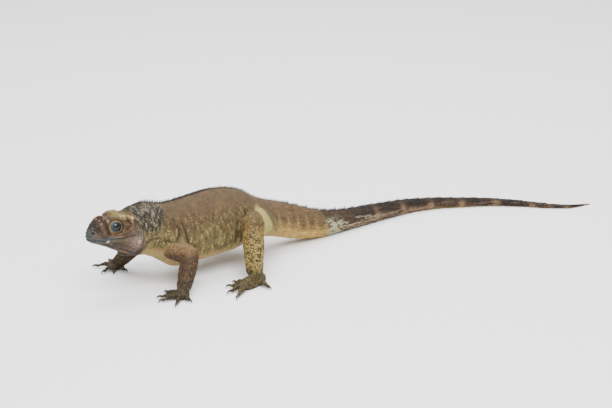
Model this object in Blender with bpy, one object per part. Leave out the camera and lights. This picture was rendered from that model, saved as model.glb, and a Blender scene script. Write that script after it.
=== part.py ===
"""A life-size rhinoceros iguana, half grown, standing with its tail laid on the floor.

Metres, +Z up. The head points along -X and the animal's left side faces -Y. The trunk, neck, head
and tail are one loft with vertical rings, parted by thin cuts. Each limb is a chain of fleshy
pieces, cut clear of what it grows from. Everything is trimmed flat at the floor.
"""
import math

import bmesh
import bpy
import numpy as np
from mathutils import Matrix, Vector

# Driving dimensions
GAP = 0.0003
RING_SIDES = 18
HEAD_PITCH = math.radians(3.0)
HEAD_BASE = Vector((-0.1485, -0.0172, 0.0815))
EYE_RADIUS = 0.0076
EYE_AT = (0.0374, 0.0114, 0.0152)
EYE_LOOKS = (0.16, 0.97, 0.10)
ORIGIN = Vector((0.1880, -0.0189, 0.0))

# Ring stations, nose to tail: x, y, top, bottom, half width, roundness above and below, waist height
NOSE = [
    (-0.2210, -0.0172, 0.0905, 0.0845, 0.0028, 2.0, 2.0, 0.50),
    (-0.2195, -0.0172, 0.0955, 0.0820, 0.0066, 2.1, 2.0, 0.45),
    (-0.2160, -0.0172, 0.1010, 0.0797, 0.0100, 2.2, 2.0, 0.42),
    (-0.2110, -0.0172, 0.1070, 0.0775, 0.0125, 2.2, 2.0, 0.42),
    (-0.2055, -0.0172, 0.1112, 0.0750, 0.0143, 2.3, 2.0, 0.42),
    (-0.1990, -0.0172, 0.1122, 0.0720, 0.0158, 2.5, 2.0, 0.42),
]
SKULL = [
    (-0.1920, -0.0172, 0.1108, 0.0685, 0.0174, 2.7, 2.0, 0.42),
    (-0.1840, -0.0172, 0.1090, 0.0640, 0.0194, 2.7, 2.1, 0.42),
    (-0.1730, -0.0172, 0.1082, 0.0583, 0.0220, 2.6, 2.1, 0.44),
    (-0.1640, -0.0172, 0.1102, 0.0538, 0.0236, 2.4, 2.0, 0.46),
    (-0.1560, -0.0172, 0.1148, 0.0505, 0.0244, 2.2, 2.0, 0.46),
    (-0.1480, -0.0170, 0.1175, 0.0480, 0.0247, 2.0, 2.0, 0.48),
]
TRUNK = [
    (-0.1360, -0.0168, 0.1182, 0.0460, 0.0262, 1.9, 2.0, 0.48),
    (-0.1200, -0.0162, 0.1150, 0.0390, 0.0290, 1.8, 2.0, 0.46),
    (-0.1040, -0.0152, 0.1108, 0.0292, 0.0330, 1.8, 2.1, 0.45),
    (-0.0850, -0.0140, 0.1095, 0.0188, 0.0375, 1.8, 2.1, 0.45),
    (-0.0550, -0.0110, 0.1100, 0.0190, 0.0430, 1.8, 2.2, 0.44),
    (-0.0200, -0.0085, 0.1110, 0.0200, 0.0470, 1.8, 2.3, 0.43),
    (0.0120, -0.0065, 0.1070, 0.0220, 0.0465, 1.8, 2.3, 0.43),
    (0.0400, -0.0055, 0.0985, 0.0262, 0.0415, 1.8, 2.3, 0.44),
    (0.0620, -0.0055, 0.0850, 0.0262, 0.0350, 1.8, 2.2, 0.45),
    (0.0820, -0.0055, 0.0755, 0.0228, 0.0295, 1.8, 2.2, 0.45),
]
TAIL = [
    (0.1050, -0.0060, 0.0685, 0.0165, 0.0250, 1.8, 2.2, 0.45),
    (0.1440, -0.0070, 0.0535, 0.0070, 0.0210, 1.7, 2.2, 0.45),
    (0.1850, -0.0080, 0.0390, 0.0008, 0.0172, 1.7, 2.2, 0.45),
    (0.2350, -0.0070, 0.0296, -0.0008, 0.0142, 1.7, 2.2, 0.45),
    (0.2900, -0.0060, 0.0252, -0.0008, 0.0122, 1.7, 2.2, 0.45),
    (0.3450, -0.0070, 0.0214, -0.0008, 0.0104, 1.7, 2.2, 0.45),
    (0.3970, -0.0180, 0.0172, -0.0008, 0.0085, 1.8, 2.1, 0.45),
    (0.4380, -0.0400, 0.0148, -0.0008, 0.0073, 1.8, 2.1, 0.45),
    (0.4770, -0.0660, 0.0125, -0.0008, 0.0062, 1.8, 2.0, 0.45),
    (0.5090, -0.0980, 0.0102, -0.0008, 0.0051, 1.8, 2.0, 0.45),
    (0.5370, -0.1330, 0.0079, -0.0007, 0.0041, 1.9, 2.0, 0.45),
    (0.5620, -0.1540, 0.0060, -0.0006, 0.0031, 2.0, 2.0, 0.45),
    (0.5970, -0.1610, 0.0024, -0.0002, 0.0011, 2.0, 2.0, 0.45),
]

# Distances along the loft between rings, and where the tail's whorls begin
HEAD_RING_STEP = 0.0054
TRUNK_RING_STEP = 0.0115
WHORL_STEP = 0.0180
WHORL_FLARE = 0.0009
WHORLS_START_X = 0.1100

# Cuts across the loft: where each node ends, as x on the centre line
CUTS = {
    "neck": -0.1435, "torso": -0.1030, "tail_1": 0.0960, "tail_2": 0.1900, "tail_3": 0.2870,
    "tail_4": 0.3900, "tail_5": 0.4900,
}
NECK_CUT_LEAN = math.radians(28.0)

# Dorsal crest
CREST_STEP = 0.0070
CREST_END_X = 0.4700
CREST_SINK = 0.0014

# Skin tones
OLIVE = (0.150, 0.118, 0.066)
NECK_GREY = (0.105, 0.097, 0.082)
HEAD_BROWN = (0.160, 0.105, 0.062)
TAIL_BASE_TAN = (0.190, 0.135, 0.075)
TAIL_DARK = (0.070, 0.052, 0.042)
ARM_BROWN = (0.145, 0.088, 0.052)
LEG_YELLOW = (0.185, 0.150, 0.070)
FOOT_DARK = (0.070, 0.055, 0.034)
EYE_BLACK = (0.010, 0.014, 0.018)


def clear_scene():
    for obj in list(bpy.data.objects):
        bpy.data.objects.remove(obj)


def material(name, colour, roughness):
    made = bpy.data.materials.get(name) or bpy.data.materials.new(name)
    made.use_nodes = True
    shader = made.node_tree.nodes["Principled BSDF"]
    shader.inputs["Base Color"].default_value = (*colour, 1.0)
    shader.inputs["Roughness"].default_value = roughness
    shader.inputs["Metallic"].default_value = 0.0
    return made


def add_object(name, points, faces):
    mesh = bpy.data.meshes.new(name)
    mesh.from_pydata([tuple(p) for p in points], [], faces)
    shape = bmesh.new()
    shape.from_mesh(mesh)
    bmesh.ops.triangulate(shape, faces=shape.faces)
    bmesh.ops.recalc_face_normals(shape, faces=shape.faces)
    shape.to_mesh(mesh)
    shape.free()
    obj = bpy.data.objects.new(name, mesh)
    bpy.context.scene.collection.objects.link(obj)
    return obj


def loft(name, rings):
    """A closed skin over rings of equal size, with a fan at each end."""
    sides = len(rings[0])
    points = [p for ring in rings for p in ring]
    faces = []
    for i in range(len(rings) - 1):
        for j in range(sides):
            k = (j + 1) % sides
            faces.append((i * sides + j, i * sides + k, (i + 1) * sides + k, (i + 1) * sides + j))
    for start, ring in ((0, rings[0]), ((len(rings) - 1) * sides, rings[-1])):
        middle = sum((Vector(p) for p in ring), Vector()) / sides
        points.append(middle)
        hub = len(points) - 1
        faces.extend((start + j, start + (j + 1) % sides, hub) for j in range(sides))
    return add_object(name, points, faces)


def smooth_columns(knots, rows, wanted):
    """Monotone cubic curves through the rows, read at the wanted knots."""
    knots = np.asarray(knots, float)
    rows = np.asarray(rows, float)
    wanted = np.asarray(wanted, float)
    steps = np.diff(knots)[:, None]
    slopes = np.diff(rows, axis=0) / steps
    tangents = np.zeros_like(rows)
    tangents[0], tangents[-1] = slopes[0], slopes[-1]
    same_way = slopes[:-1] * slopes[1:] > 0
    before, after = steps[:-1], steps[1:]
    weight_a, weight_b = 2 * after + before, after + 2 * before
    safe_a = np.where(same_way, slopes[:-1], 1.0)
    safe_b = np.where(same_way, slopes[1:], 1.0)
    mean = (weight_a + weight_b) / (weight_a / safe_a + weight_b / safe_b)
    tangents[1:-1] = np.where(same_way, mean, 0.0)
    i = np.clip(np.searchsorted(knots, wanted, side="right") - 1, 0, len(knots) - 2)
    h = (knots[i + 1] - knots[i])[:, None]
    t = ((wanted - knots[i])[:, None]) / h
    return ((2 * t**3 - 3 * t**2 + 1) * rows[i] + (t**3 - 2 * t**2 + t) * h * tangents[i]
            + (3 * t**2 - 2 * t**3) * rows[i + 1] + (t**3 - t**2) * h * tangents[i + 1])


class Spine:
    """The centre line of the loft and the section at any distance along it."""

    def __init__(self):
        self.rows = np.array(NOSE + SKULL + TRUNK + TAIL, float)
        steps = np.hypot(np.diff(self.rows[:, 0]), np.diff(self.rows[:, 1]))
        self.knots = np.concatenate([[0.0], np.cumsum(steps)])
        self.length = float(self.knots[-1])

    def at(self, distance):
        return smooth_columns(self.knots, self.rows, [distance])[0]

    def distance_of_x(self, x):
        fine = np.linspace(0.0, self.length, 2000)
        return float(np.interp(x, smooth_columns(self.knots, self.rows, fine)[:, 0], fine))

    def along(self, distance):
        """Unit vector towards the tail, in plan."""
        a = self.at(max(0.0, distance - 0.002))
        b = self.at(min(self.length, distance + 0.002))
        return Vector((b[0] - a[0], b[1] - a[1], 0.0)).normalized()

    def ring(self, distance, grow=0.0, sides=RING_SIDES):
        x, y, top, bottom, half, over, under, waist = self.at(distance)
        top, bottom, half = top + grow, bottom - grow, half + grow
        middle = bottom + (top - bottom) * waist
        left = Vector((0, 0, 1)).cross(self.along(distance))
        points = []
        for j in range(sides):
            turn = 2 * math.pi * (j + 0.5) / sides - math.pi / 2
            c, s = math.cos(turn), math.sin(turn)
            power = 2.0 / (over if s > 0 else under)
            across = half * math.copysign(abs(c) ** power, c)
            rise = (top - middle if s > 0 else middle - bottom) * math.copysign(abs(s) ** power, s)
            points.append(Vector((x, y, middle + rise)) + left * across)
        return points


def whorl_flare(x, spine_distance, whorls_from):
    """How far the tail swells at this place: nothing where a whorl begins, most where it ends."""
    if x < WHORLS_START_X:
        return 0.0
    share = ((spine_distance - whorls_from) / WHORL_STEP) % 1.0
    fade = min(1.0, (0.56 - x) / 0.30) if x < 0.56 else 0.0
    return WHORL_FLARE * share * fade


def ring_distances(spine):
    """Close rings on the head, wider ones on the trunk, and two to each whorl of the tail."""
    neck = spine.distance_of_x(CUTS["neck"])
    whorls = spine.distance_of_x(WHORLS_START_X)
    head = list(np.linspace(0.0, neck, round(neck / HEAD_RING_STEP)))
    trunk = list(np.linspace(neck, whorls, round((whorls - neck) / TRUNK_RING_STEP)))[1:-1]
    tail = []
    at = whorls
    while at < spine.length - 0.008:
        tail.append(at)
        tail.append(at + WHORL_STEP * 0.96)
        at += WHORL_STEP
    return head + trunk + tail + [spine.length]


def body_loft(spine, name, grow=0.0):
    whorls_from = spine.distance_of_x(WHORLS_START_X)
    rings = []
    for distance in ring_distances(spine):
        flare = whorl_flare(spine.at(distance)[0], distance + 1e-6, whorls_from)
        rings.append(spine.ring(distance, grow + flare))
    return loft(name, rings)


def head_point(forward, side, up):
    """A place on the head: forward from the nape, side towards the animal's left, up from the mouth line."""
    ahead = Vector((-math.cos(HEAD_PITCH), 0.0, math.sin(HEAD_PITCH)))
    over = Vector((math.sin(HEAD_PITCH), 0.0, math.cos(HEAD_PITCH)))
    return HEAD_BASE + ahead * forward + Vector((0.0, -1.0, 0.0)) * side + over * up


def head_direction(forward, side, up):
    return (head_point(forward, side, up) - HEAD_BASE).normalized()


def blob(name, centre, radii, axes, sides=10, rings=6):
    """An ellipsoid with its own axes."""
    made = []
    for i in range(1, rings):
        lat = math.pi * i / rings - math.pi / 2
        made.append([centre + axes[0] * radii[0] * math.sin(lat)
                     + axes[1] * radii[1] * math.cos(lat) * math.cos(2 * math.pi * j / sides)
                     + axes[2] * radii[2] * math.cos(lat) * math.sin(2 * math.pi * j / sides)
                     for j in range(sides)])
    obj = loft(name, made)
    count = len(obj.data.vertices)
    obj.data.vertices[count - 2].co = centre - axes[0] * radii[0]
    obj.data.vertices[count - 1].co = centre + axes[0] * radii[0]
    return obj


def head_blob(name, at, radii, sides=10, rings=6, lean=0.0, toe=0.0):
    """An ellipsoid on the head. Lean tips it outwards about its length, toe turns its front inwards."""
    side_sign = 1.0 if at[1] >= 0 else -1.0
    ahead = head_direction(math.cos(toe), -side_sign * math.sin(toe), 0)
    outwards = side_sign * math.cos(toe) * math.cos(lean)
    out = head_direction(math.sin(toe) * math.cos(lean), outwards, -math.sin(lean))
    return blob(name, head_point(*at), radii, (ahead, out, ahead.cross(out)), sides, rings)


def tube(name, path, radii, sides=6, up=Vector((0, 0, 1)), flat=1.0, round_ends=True):
    """A limb, toe or lip along a path, with an elliptical section: flat is height over width."""
    path = [Vector(p) for p in path]
    rings = []
    for i, point in enumerate(path):
        ahead = (path[min(i + 1, len(path) - 1)] - path[max(i - 1, 0)]).normalized()
        side = ahead.cross(up).normalized()
        over = side.cross(ahead)
        radius = radii[i]
        rings.append([point + side * radius * math.cos(2 * math.pi * j / sides)
                      + over * radius * flat * math.sin(2 * math.pi * j / sides) for j in range(sides)])
    obj = loft(name, rings)
    if round_ends:
        count = len(obj.data.vertices)
        first, last = (path[0] - path[1]).normalized(), (path[-1] - path[-2]).normalized()
        obj.data.vertices[count - 2].co = path[0] + first * radii[0] * 0.6
        obj.data.vertices[count - 1].co = path[-1] + last * radii[-1] * 0.6
    return obj


def fleshy(name, start, end, radii, sides=12, bow=Vector((0, 0, 0)), flat=1.0):
    """A length of limb from start to end, with named radii spaced evenly and round ends."""
    start, end = Vector(start), Vector(end)
    count = len(radii)
    length = (end - start).length
    path, widths = [], []
    for i in range(-1, count + 1):
        share = min(max(i, 0), count - 1) / (count - 1)
        point = start.lerp(end, share) + bow * math.sin(math.pi * share)
        if i == -1:
            point = point - (end - start) / length * radii[0] * 0.62
            widths.append(radii[0] * 0.66)
        elif i == count:
            point = point + (end - start) / length * radii[-1] * 0.62
            widths.append(radii[-1] * 0.66)
        else:
            widths.append(radii[i])
        path.append(point)
    return tube(name, path, widths, sides, flat=flat)


def boolean(target, others, operation, solver="MANIFOLD"):
    """One Boolean of the target with a collection of closed meshes, applied, and the others removed."""
    if not others:
        return target
    group = bpy.data.collections.new("operands")
    for other in others:
        group.objects.link(other)
        for home in list(other.users_collection):
            if home != group:
                home.objects.unlink(other)
    bpy.context.scene.collection.children.link(group)
    modifier = target.modifiers.new("join", "BOOLEAN")
    modifier.operation = operation
    modifier.solver = solver
    modifier.operand_type = "COLLECTION"
    modifier.collection = group
    bpy.context.view_layer.update()
    graph = bpy.context.evaluated_depsgraph_get()
    result = bpy.data.meshes.new_from_object(target.evaluated_get(graph))
    target.modifiers.clear()
    target.data = result
    for other in others:
        bpy.data.objects.remove(other)
    bpy.data.collections.remove(group)
    return target


def loose_parts(obj):
    """Closed surfaces of the mesh as lists of face indices, largest volume first."""
    shape = bmesh.new()
    shape.from_mesh(obj.data)
    shape.faces.ensure_lookup_table()
    seen, parts = set(), []
    for face in shape.faces:
        if face.index in seen:
            continue
        stack, part = [face], []
        seen.add(face.index)
        while stack:
            here = stack.pop()
            part.append(here.index)
            for edge in here.edges:
                for beside in edge.link_faces:
                    if beside.index not in seen:
                        seen.add(beside.index)
                        stack.append(beside)
        volume = 0.0
        for index in part:
            corners = [v.co for v in shape.faces[index].verts]
            for k in range(1, len(corners) - 1):
                volume += corners[0].dot(corners[k].cross(corners[k + 1])) / 6
        parts.append((volume, part))
    shape.free()
    return sorted(parts, key=lambda item: -item[0])


def keep_faces(obj, name, wanted):
    """A new object of only these faces, with its mesh made of triangles."""
    shape = bmesh.new()
    shape.from_mesh(obj.data)
    shape.faces.ensure_lookup_table()
    wanted = set(wanted)
    bmesh.ops.delete(shape, geom=[f for f in shape.faces if f.index not in wanted], context="FACES")
    bmesh.ops.triangulate(shape, faces=shape.faces)
    mesh = bpy.data.meshes.new(name)
    shape.to_mesh(mesh)
    shape.free()
    made = bpy.data.objects.new(name, mesh)
    bpy.context.scene.collection.objects.link(made)
    return made


def largest_only(obj, name):
    """Drops any scrap that a cut left loose."""
    made = keep_faces(obj, name + "_whole", loose_parts(obj)[0][1])
    bpy.data.objects.remove(obj)
    made.name = name
    return made


def slab(name, centre, normal, half_size, thickness=GAP):
    """A thin square plate square to the normal, for parting the loft."""
    normal = Vector(normal).normalized()
    side = normal.cross(Vector((0, 0, 1))).normalized()
    over = side.cross(normal)
    corners = []
    for depth in (-thickness / 2, thickness / 2):
        for a, b in ((-1, -1), (1, -1), (1, 1), (-1, 1)):
            corners.append(Vector(centre) + normal * depth + side * half_size * a + over * half_size * b)
    faces = [(0, 1, 2, 3), (7, 6, 5, 4), (0, 4, 5, 1), (1, 5, 6, 2), (2, 6, 7, 3), (3, 7, 4, 0)]
    return add_object(name, corners, faces)


def below_floor(name):
    """Everything under z = 0, as a block."""
    return slab(name, (0.18, 0.0, -0.02), (0, 1e-6, 1), 0.6, 0.04)


def spike(name, root, out, back, height, length, width, sink):
    """One crest spine: a flattened, back-swept cone of four sides, its root sunk in."""
    across = out.cross(back).normalized()
    rings = []
    for share, rise in ((1.0, -sink), (0.72, height * 0.45)):
        centre = root + out * rise + back * (length * 0.25 * max(0.0, rise) / height)
        rings.append([centre + back * length * 0.5 * share, centre + across * width * 0.5 * share,
                      centre - back * length * 0.5 * share, centre - across * width * 0.5 * share])
    points = [p for ring in rings for p in ring] + [root + out * height + back * length * 0.6]
    faces = [(3, 2, 1, 0)]
    for j in range(4):
        k = (j + 1) % 4
        faces.append((j, k, 4 + k, 4 + j))
        faces.append((4 + j, 4 + k, 8))
    return add_object(name, points, faces)


def crest_height(x):
    """Height of the crest spines along the animal: low on the back, tallest on the tail."""
    places = (-0.152, -0.130, -0.080, 0.030, 0.070, 0.110, 0.180, 0.200, 0.300, 0.400, 0.470)
    heights = (0.0016, 0.0026, 0.0024, 0.0022, 0.0012, 0.0026, 0.0030, 0.0040, 0.0030, 0.0016, 0.0009)
    return float(np.interp(x, places, heights))


def crest(spine):
    """Spines along the mid line from the nape to the tail, left out beside a cut."""
    made = []
    cuts = [spine.distance_of_x(x) for x in CUTS.values()]
    cuts[1] = spine.distance_of_x(CUTS["torso"] + 0.0155)
    distance = spine.distance_of_x(-0.1530)
    end = spine.distance_of_x(CREST_END_X)
    while distance < end:
        x, y, top = spine.at(distance)[:3]
        ahead = spine.at(distance + 0.002)
        back = Vector((ahead[0] - x, ahead[1] - y, ahead[2] - top)).normalized()
        out = Vector((0, 0, 1)) - back * back.z
        out.normalize()
        height = crest_height(x)
        length = min(0.0052, 0.0016 + height * 1.15)
        if min(abs(distance - cut) for cut in cuts) > length * 0.75 + 0.0006:
            made.append(spike("spine", Vector((x, y, top - 0.0003)), out, back, height + 0.0003, length,
                              0.0013 + height * 0.20, CREST_SINK))
        distance += CREST_STEP
    return made


def side_of_head(spine, forward, up):
    """How far out the head's side lies at this place."""
    place = head_point(forward, 0, up)
    x, y, top, bottom, half, over, under, waist = spine.at(spine.distance_of_x(place.x))
    middle = bottom + (top - bottom) * waist
    reach = top - middle if place.z > middle else middle - bottom
    power = over if place.z > middle else under
    share = min(0.995, abs(place.z - middle) / reach)
    return half * (1 - share**power) ** (1 / power)


def mouth_line(share):
    """The line of the closed mouth, as forward and up, from the corner (0) to the nose (1)."""
    forward = 0.0295 + (0.0728 - 0.0295) * share
    sag = math.exp(-((forward - 0.0560) / 0.0075) ** 2)
    return forward, 0.0005 - 0.0024 * sag


def mouth_path(spine, outwards, lift=0.0, count=8, from_share=0.0):
    """Points along the mouth from the left corner round the nose to the right one."""
    left = []
    for i in range(count):
        share = from_share + (0.955 - from_share) * i / (count - 1)
        forward, up = mouth_line(share)
        out = side_of_head(spine, forward, up + lift)
        left.append((forward, out + outwards, up + lift))
    forward, up = mouth_line(1.0)
    nose = (forward + outwards, 0.0, up + lift)
    right = [(f, -s, u) for f, s, u in reversed(left)]
    return left + [nose] + right


def lip(spine, name, lift, radius):
    path = [head_point(*p) for p in mouth_path(spine, -radius * 0.72, lift, 6, 0.05)]
    middle = (len(path) - 1) / 2
    radii = []
    for i in range(len(path)):
        corner = abs(i / middle - 1)
        radii.append(radius * (0.95 - 0.40 * corner**3 - 0.30 * math.exp(-((i - middle) ** 2))))
    return tube(name, path, radii, 6)


def mouth_cut(spine):
    """A thin band that leaves the line of the mouth as a groove."""
    inner = mouth_path(spine, -0.0016)
    outer = mouth_path(spine, 0.0030)
    half = 0.00035
    points = []
    for rail, lift in ((inner, -half), (outer, -half), (outer, half), (inner, half)):
        points.extend(head_point(f, s, u + lift) for f, s, u in rail)
    count = len(inner)
    faces = []
    for i in range(count - 1):
        for a, b in ((0, 1), (1, 2), (2, 3), (3, 0)):
            faces.append((a * count + i, a * count + i + 1, b * count + i + 1, b * count + i))
    for i in (0, count - 1):
        faces.append((i, count + i, 2 * count + i, 3 * count + i))
    return add_object("mouth_cut", points, faces)


def mirrored(places):
    """The same places on both sides of the head, with the sign of each side."""
    for sign in (1.0, -1.0):
        for forward, side, up, *rest in places:
            yield (forward, side * sign, up), rest, sign


def lid_ring(name, sign):
    """The swollen rim round one eye: a squashed ring facing the way the eye looks."""
    forward, side, up = EYE_AT
    look = head_direction(EYE_LOOKS[0], EYE_LOOKS[1] * sign, EYE_LOOKS[2])
    centre = head_point(forward, side * sign, up) + look * EYE_RADIUS * 0.76
    along = look.cross(Vector((0, 0, 1))).normalized()
    over = along.cross(look)
    turns, sides = 14, 5
    points, faces = [], []
    for i in range(turns):
        turn = 2 * math.pi * i / turns
        out = along * math.cos(turn) * 1.06 + over * math.sin(turn) * 0.96
        hub = centre + out * 0.0074
        out = out.normalized()
        for j in range(sides):
            roll = 2 * math.pi * j / sides
            points.append(hub + out * 0.0020 * math.cos(roll) + look * 0.0016 * math.sin(roll))
    for i in range(turns):
        for j in range(sides):
            a, b = i * sides + j, i * sides + (j + 1) % sides
            c, d = ((i + 1) % turns) * sides + (j + 1) % sides, ((i + 1) % turns) * sides + j
            faces.append((a, b, c, d))
    return add_object(name, points, faces)


def eye_ball(name, sign, radius):
    forward, side, up = EYE_AT
    centre = head_point(forward, side * sign, up)
    look = head_direction(EYE_LOOKS[0], EYE_LOOKS[1] * sign, EYE_LOOKS[2])
    along = look.cross(Vector((0, 0, 1))).normalized()
    return blob(name, centre, (radius,) * 3, (look, along, look.cross(along)), 12, 8)


def dome(name, centre, radius, height, normal, ahead, sides=8):
    """A low round knob whose base is sunk below the centre."""
    over = ahead.cross(normal)
    rings = []
    for lat in (-28, 20, 55):
        wide, high = radius * math.cos(math.radians(lat)), height * math.sin(math.radians(lat))
        rings.append([centre + normal * high + ahead * wide * math.cos(2 * math.pi * j / sides)
                      + over * wide * math.sin(2 * math.pi * j / sides) for j in range(sides)])
    obj = loft(name, rings)
    obj.data.vertices[len(obj.data.vertices) - 1].co = centre + normal * height
    return obj


def head_boss(spine, name, forward, turn, radius, height, sign=1.0, sides=8):
    """A knob on the head's surface. Turn is 90 at the crown and 0 at the side, in degrees."""
    x = head_point(forward, 0.0, 0.02).x
    centre_x, centre_y, top, bottom, half, over, under, waist = spine.at(spine.distance_of_x(x))
    middle = bottom + (top - bottom) * waist
    c, s = abs(math.cos(math.radians(turn))), math.sin(math.radians(turn))
    reach = top - middle
    normal = Vector((0.0, -sign * c ** (2 - 2 / over) / half, s ** (2 - 2 / over) / reach)).normalized()
    centre = Vector((centre_x, centre_y - sign * half * c ** (2 / over), middle + reach * s ** (2 / over)))
    return dome(name, centre, radius, height, normal, Vector((-1.0, 0.0, 0.0)), sides)


def brow_ridge(sign):
    """The ridge over one eye, from the snout back to the temple."""
    rail = [
        (0.0430, 0.0104, 0.0216), (0.0375, 0.0120, 0.0238), (0.0300, 0.0136, 0.0250),
        (0.0220, 0.0152, 0.0248), (0.0150, 0.0168, 0.0232), (0.0095, 0.0178, 0.0208),
    ]
    path = [head_point(f, s * sign, u) for f, s, u in rail]
    return tube("brow", path, (0.0016, 0.0036, 0.0046, 0.0048, 0.0042, 0.0022), 7)


def eye_fold(sign):
    """The crescent of loose skin under one eye."""
    forward, side, up = EYE_AT
    look = head_direction(EYE_LOOKS[0], EYE_LOOKS[1] * sign, EYE_LOOKS[2])
    centre = head_point(forward, side * sign, up) + look * EYE_RADIUS * 0.56
    along = look.cross(Vector((0, 0, 1))).normalized()
    over = along.cross(look)
    path = []
    for i in range(9):
        turn = math.radians(200 + 140 * i / 8)
        path.append(centre + along * math.cos(turn) * 0.0118 + over * math.sin(turn) * 0.0108)
    radii = [0.0006 + 0.0012 * math.sin(math.pi * i / 8) for i in range(9)]
    return tube("eye_fold", path, radii, 5, up=look)


# Knobs on the head: forward, turn, radius and height
PAIRED_BOSSES = [
    (0.0140, 52, 0.0048, 0.0034), (0.0075, 42, 0.0042, 0.0018), (0.0245, 76, 0.0046, 0.0012),
    (0.0505, 48, 0.0046, 0.0020), (0.0590, 58, 0.0034, 0.0007), (0.0580, 32, 0.0034, 0.0009),
]
MIDDLE_BOSSES = [(0.0545, 90, 0.0060, 0.0030), (0.0630, 90, 0.0042, 0.0016), (0.0470, 90, 0.0042, 0.0012)]


def head_forms(spine):
    """The forms that stand proud of the head: brows, lids, cheeks, lips, bosses and horns."""
    made = []
    for sign in (1.0, -1.0):
        made.extend(head_boss(spine, "boss", *boss, sign) for boss in PAIRED_BOSSES)
        made.append(brow_ridge(sign))
        made.append(lid_ring("lid", sign))
        made.append(eye_fold(sign))
    made.extend(head_boss(spine, "horn", *boss, 1.0, 8) for boss in MIDDLE_BOSSES)
    for at, _, sign in mirrored([(0.0155, 0.0140, -0.0100)]):
        made.append(head_blob("cheek", at, (0.0180, 0.0112, 0.0150), 10, 6, toe=0.16))
    for at, _, sign in mirrored([(0.0052, 0.0236, -0.0075)]):
        made.append(head_blob("jaw_plate", at, (0.0046, 0.0016, 0.0044), 8, 4, toe=0.12))
    for at, _, sign in mirrored([(0.0690, 0.0064, 0.0095)]):
        made.append(head_blob("nostril_rim", at, (0.0036, 0.0028, 0.0028), 8, 4, toe=0.7))
    made.append(head_blob("throat", (0.0045, 0.0, -0.0258), (0.0200, 0.0108, 0.0074), 10, 7))
    made.append(lip(spine, "upper_lip", 0.0020, 0.0016))
    made.append(lip(spine, "lower_lip", -0.0020, 0.0015))
    return made


def head_hollows(spine):
    """What is cut from the head: the eye sockets, nostrils, ear drums and the line of the mouth."""
    made = [mouth_cut(spine)]
    for sign, side_name in ((1.0, "left"), (-1.0, "right")):
        made.append(eye_ball("socket_" + side_name, sign, EYE_RADIUS + GAP))
    for at, _, sign in mirrored([(0.0708, 0.0088, 0.0095)]):
        made.append(head_blob("nostril", at, (0.0020, 0.0030, 0.0013), 8, 5, toe=0.7))
    for at, _, sign in mirrored([(0.0072, 0.0266, 0.0030)]):
        made.append(head_blob("ear", at, (0.0048, 0.0040, 0.0052), 10, 6))
    return made


# Limbs: joints on the centre lines of the flesh, and the tips of the claws, all at rest
ARM_LEFT = {
    "shoulder": (-0.1070, -0.0350, 0.0565), "elbow": (-0.0925, -0.0675, 0.0475),
    "wrist": (-0.1165, -0.0840, 0.0140), "palm": (-0.1235, -0.0870, 0.0062),
    "claws": [
        (-0.1285, -0.0550), (-0.1490, -0.0666), (-0.1575, -0.0815), (-0.1500, -0.1090), (-0.1240, -0.1110),
    ],
}
ARM_RIGHT = {
    "shoulder": (-0.1070, 0.0030, 0.0565), "elbow": (-0.0955, 0.0345, 0.0480),
    "wrist": (-0.1180, 0.0580, 0.0145), "palm": (-0.1220, 0.0660, 0.0062),
    "claws": [(-0.1180, 0.0420), (-0.1380, 0.0475), (-0.1500, 0.0595), (-0.1430, 0.0910), (-0.1110, 0.0985)],
}
LEG_LEFT = {
    "hip": (0.0560, -0.0320, 0.0560), "knee": (0.0085, -0.0735, 0.0680),
    "ankle": (-0.0120, -0.1025, 0.0180), "heel": (-0.0070, -0.1085, 0.0075), "ball": (-0.0340, -0.1130, 0.0062),
    "claws": [
        (-0.0360, -0.0840), (-0.0540, -0.0925), (-0.0690, -0.1140), (-0.0730, -0.1385), (-0.0140, -0.1400),
    ],
}
LEG_RIGHT = {
    "hip": (0.0560, 0.0210, 0.0560), "knee": (0.0370, 0.0640, 0.0600), "ankle": (0.0830, 0.0800, 0.0175),
    "heel": (0.0850, 0.0860, 0.0075), "ball": (0.0580, 0.0960, 0.0062),
    "claws": [(0.0480, 0.0700), (0.0300, 0.0840), (0.0190, 0.1010), (0.0240, 0.1240), (0.0860, 0.1200)],
}
TOE_RADII = (0.0044, 0.0036, 0.0031, 0.0027)


def toe(name, root, tip, claw_length, radii=TOE_RADII):
    """A toe arched from its root to the floor, and its curved claw."""
    root, tip = Vector(root), Vector((tip[0], tip[1], 0.0))
    reach = tip - Vector((root.x, root.y, 0.0))
    ahead = reach.normalized()
    flesh = reach.length - claw_length * 0.8
    path, widths = [], []
    for i, radius in enumerate(radii):
        share = i / (len(radii) - 1)
        flat = Vector((root.x, root.y, 0.0)) + ahead * flesh * share
        height = (1 - share) * root.z + share * radii[-1] * 0.95 + 0.0020 * math.sin(math.pi * share)
        path.append(flat + Vector((0, 0, height)))
        widths.append(radius)
    pieces = [tube(name, path, widths, 6)]
    start = path[-1] + Vector((0, 0, 0.0006))
    claw_path = [start - ahead * 0.0012,
                 start + ahead * claw_length * 0.30 + Vector((0, 0, 0.0004)),
                 start + ahead * claw_length * 0.62 - Vector((0, 0, start.z * 0.35)),
                 Vector((tip.x, tip.y, 0.0002))]
    claw_radii = (0.0019, 0.0016, 0.0011, 0.00025)
    pieces.append(tube(name + "_claw", claw_path, claw_radii, 4, flat=1.15, round_ends=False))
    return pieces


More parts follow.
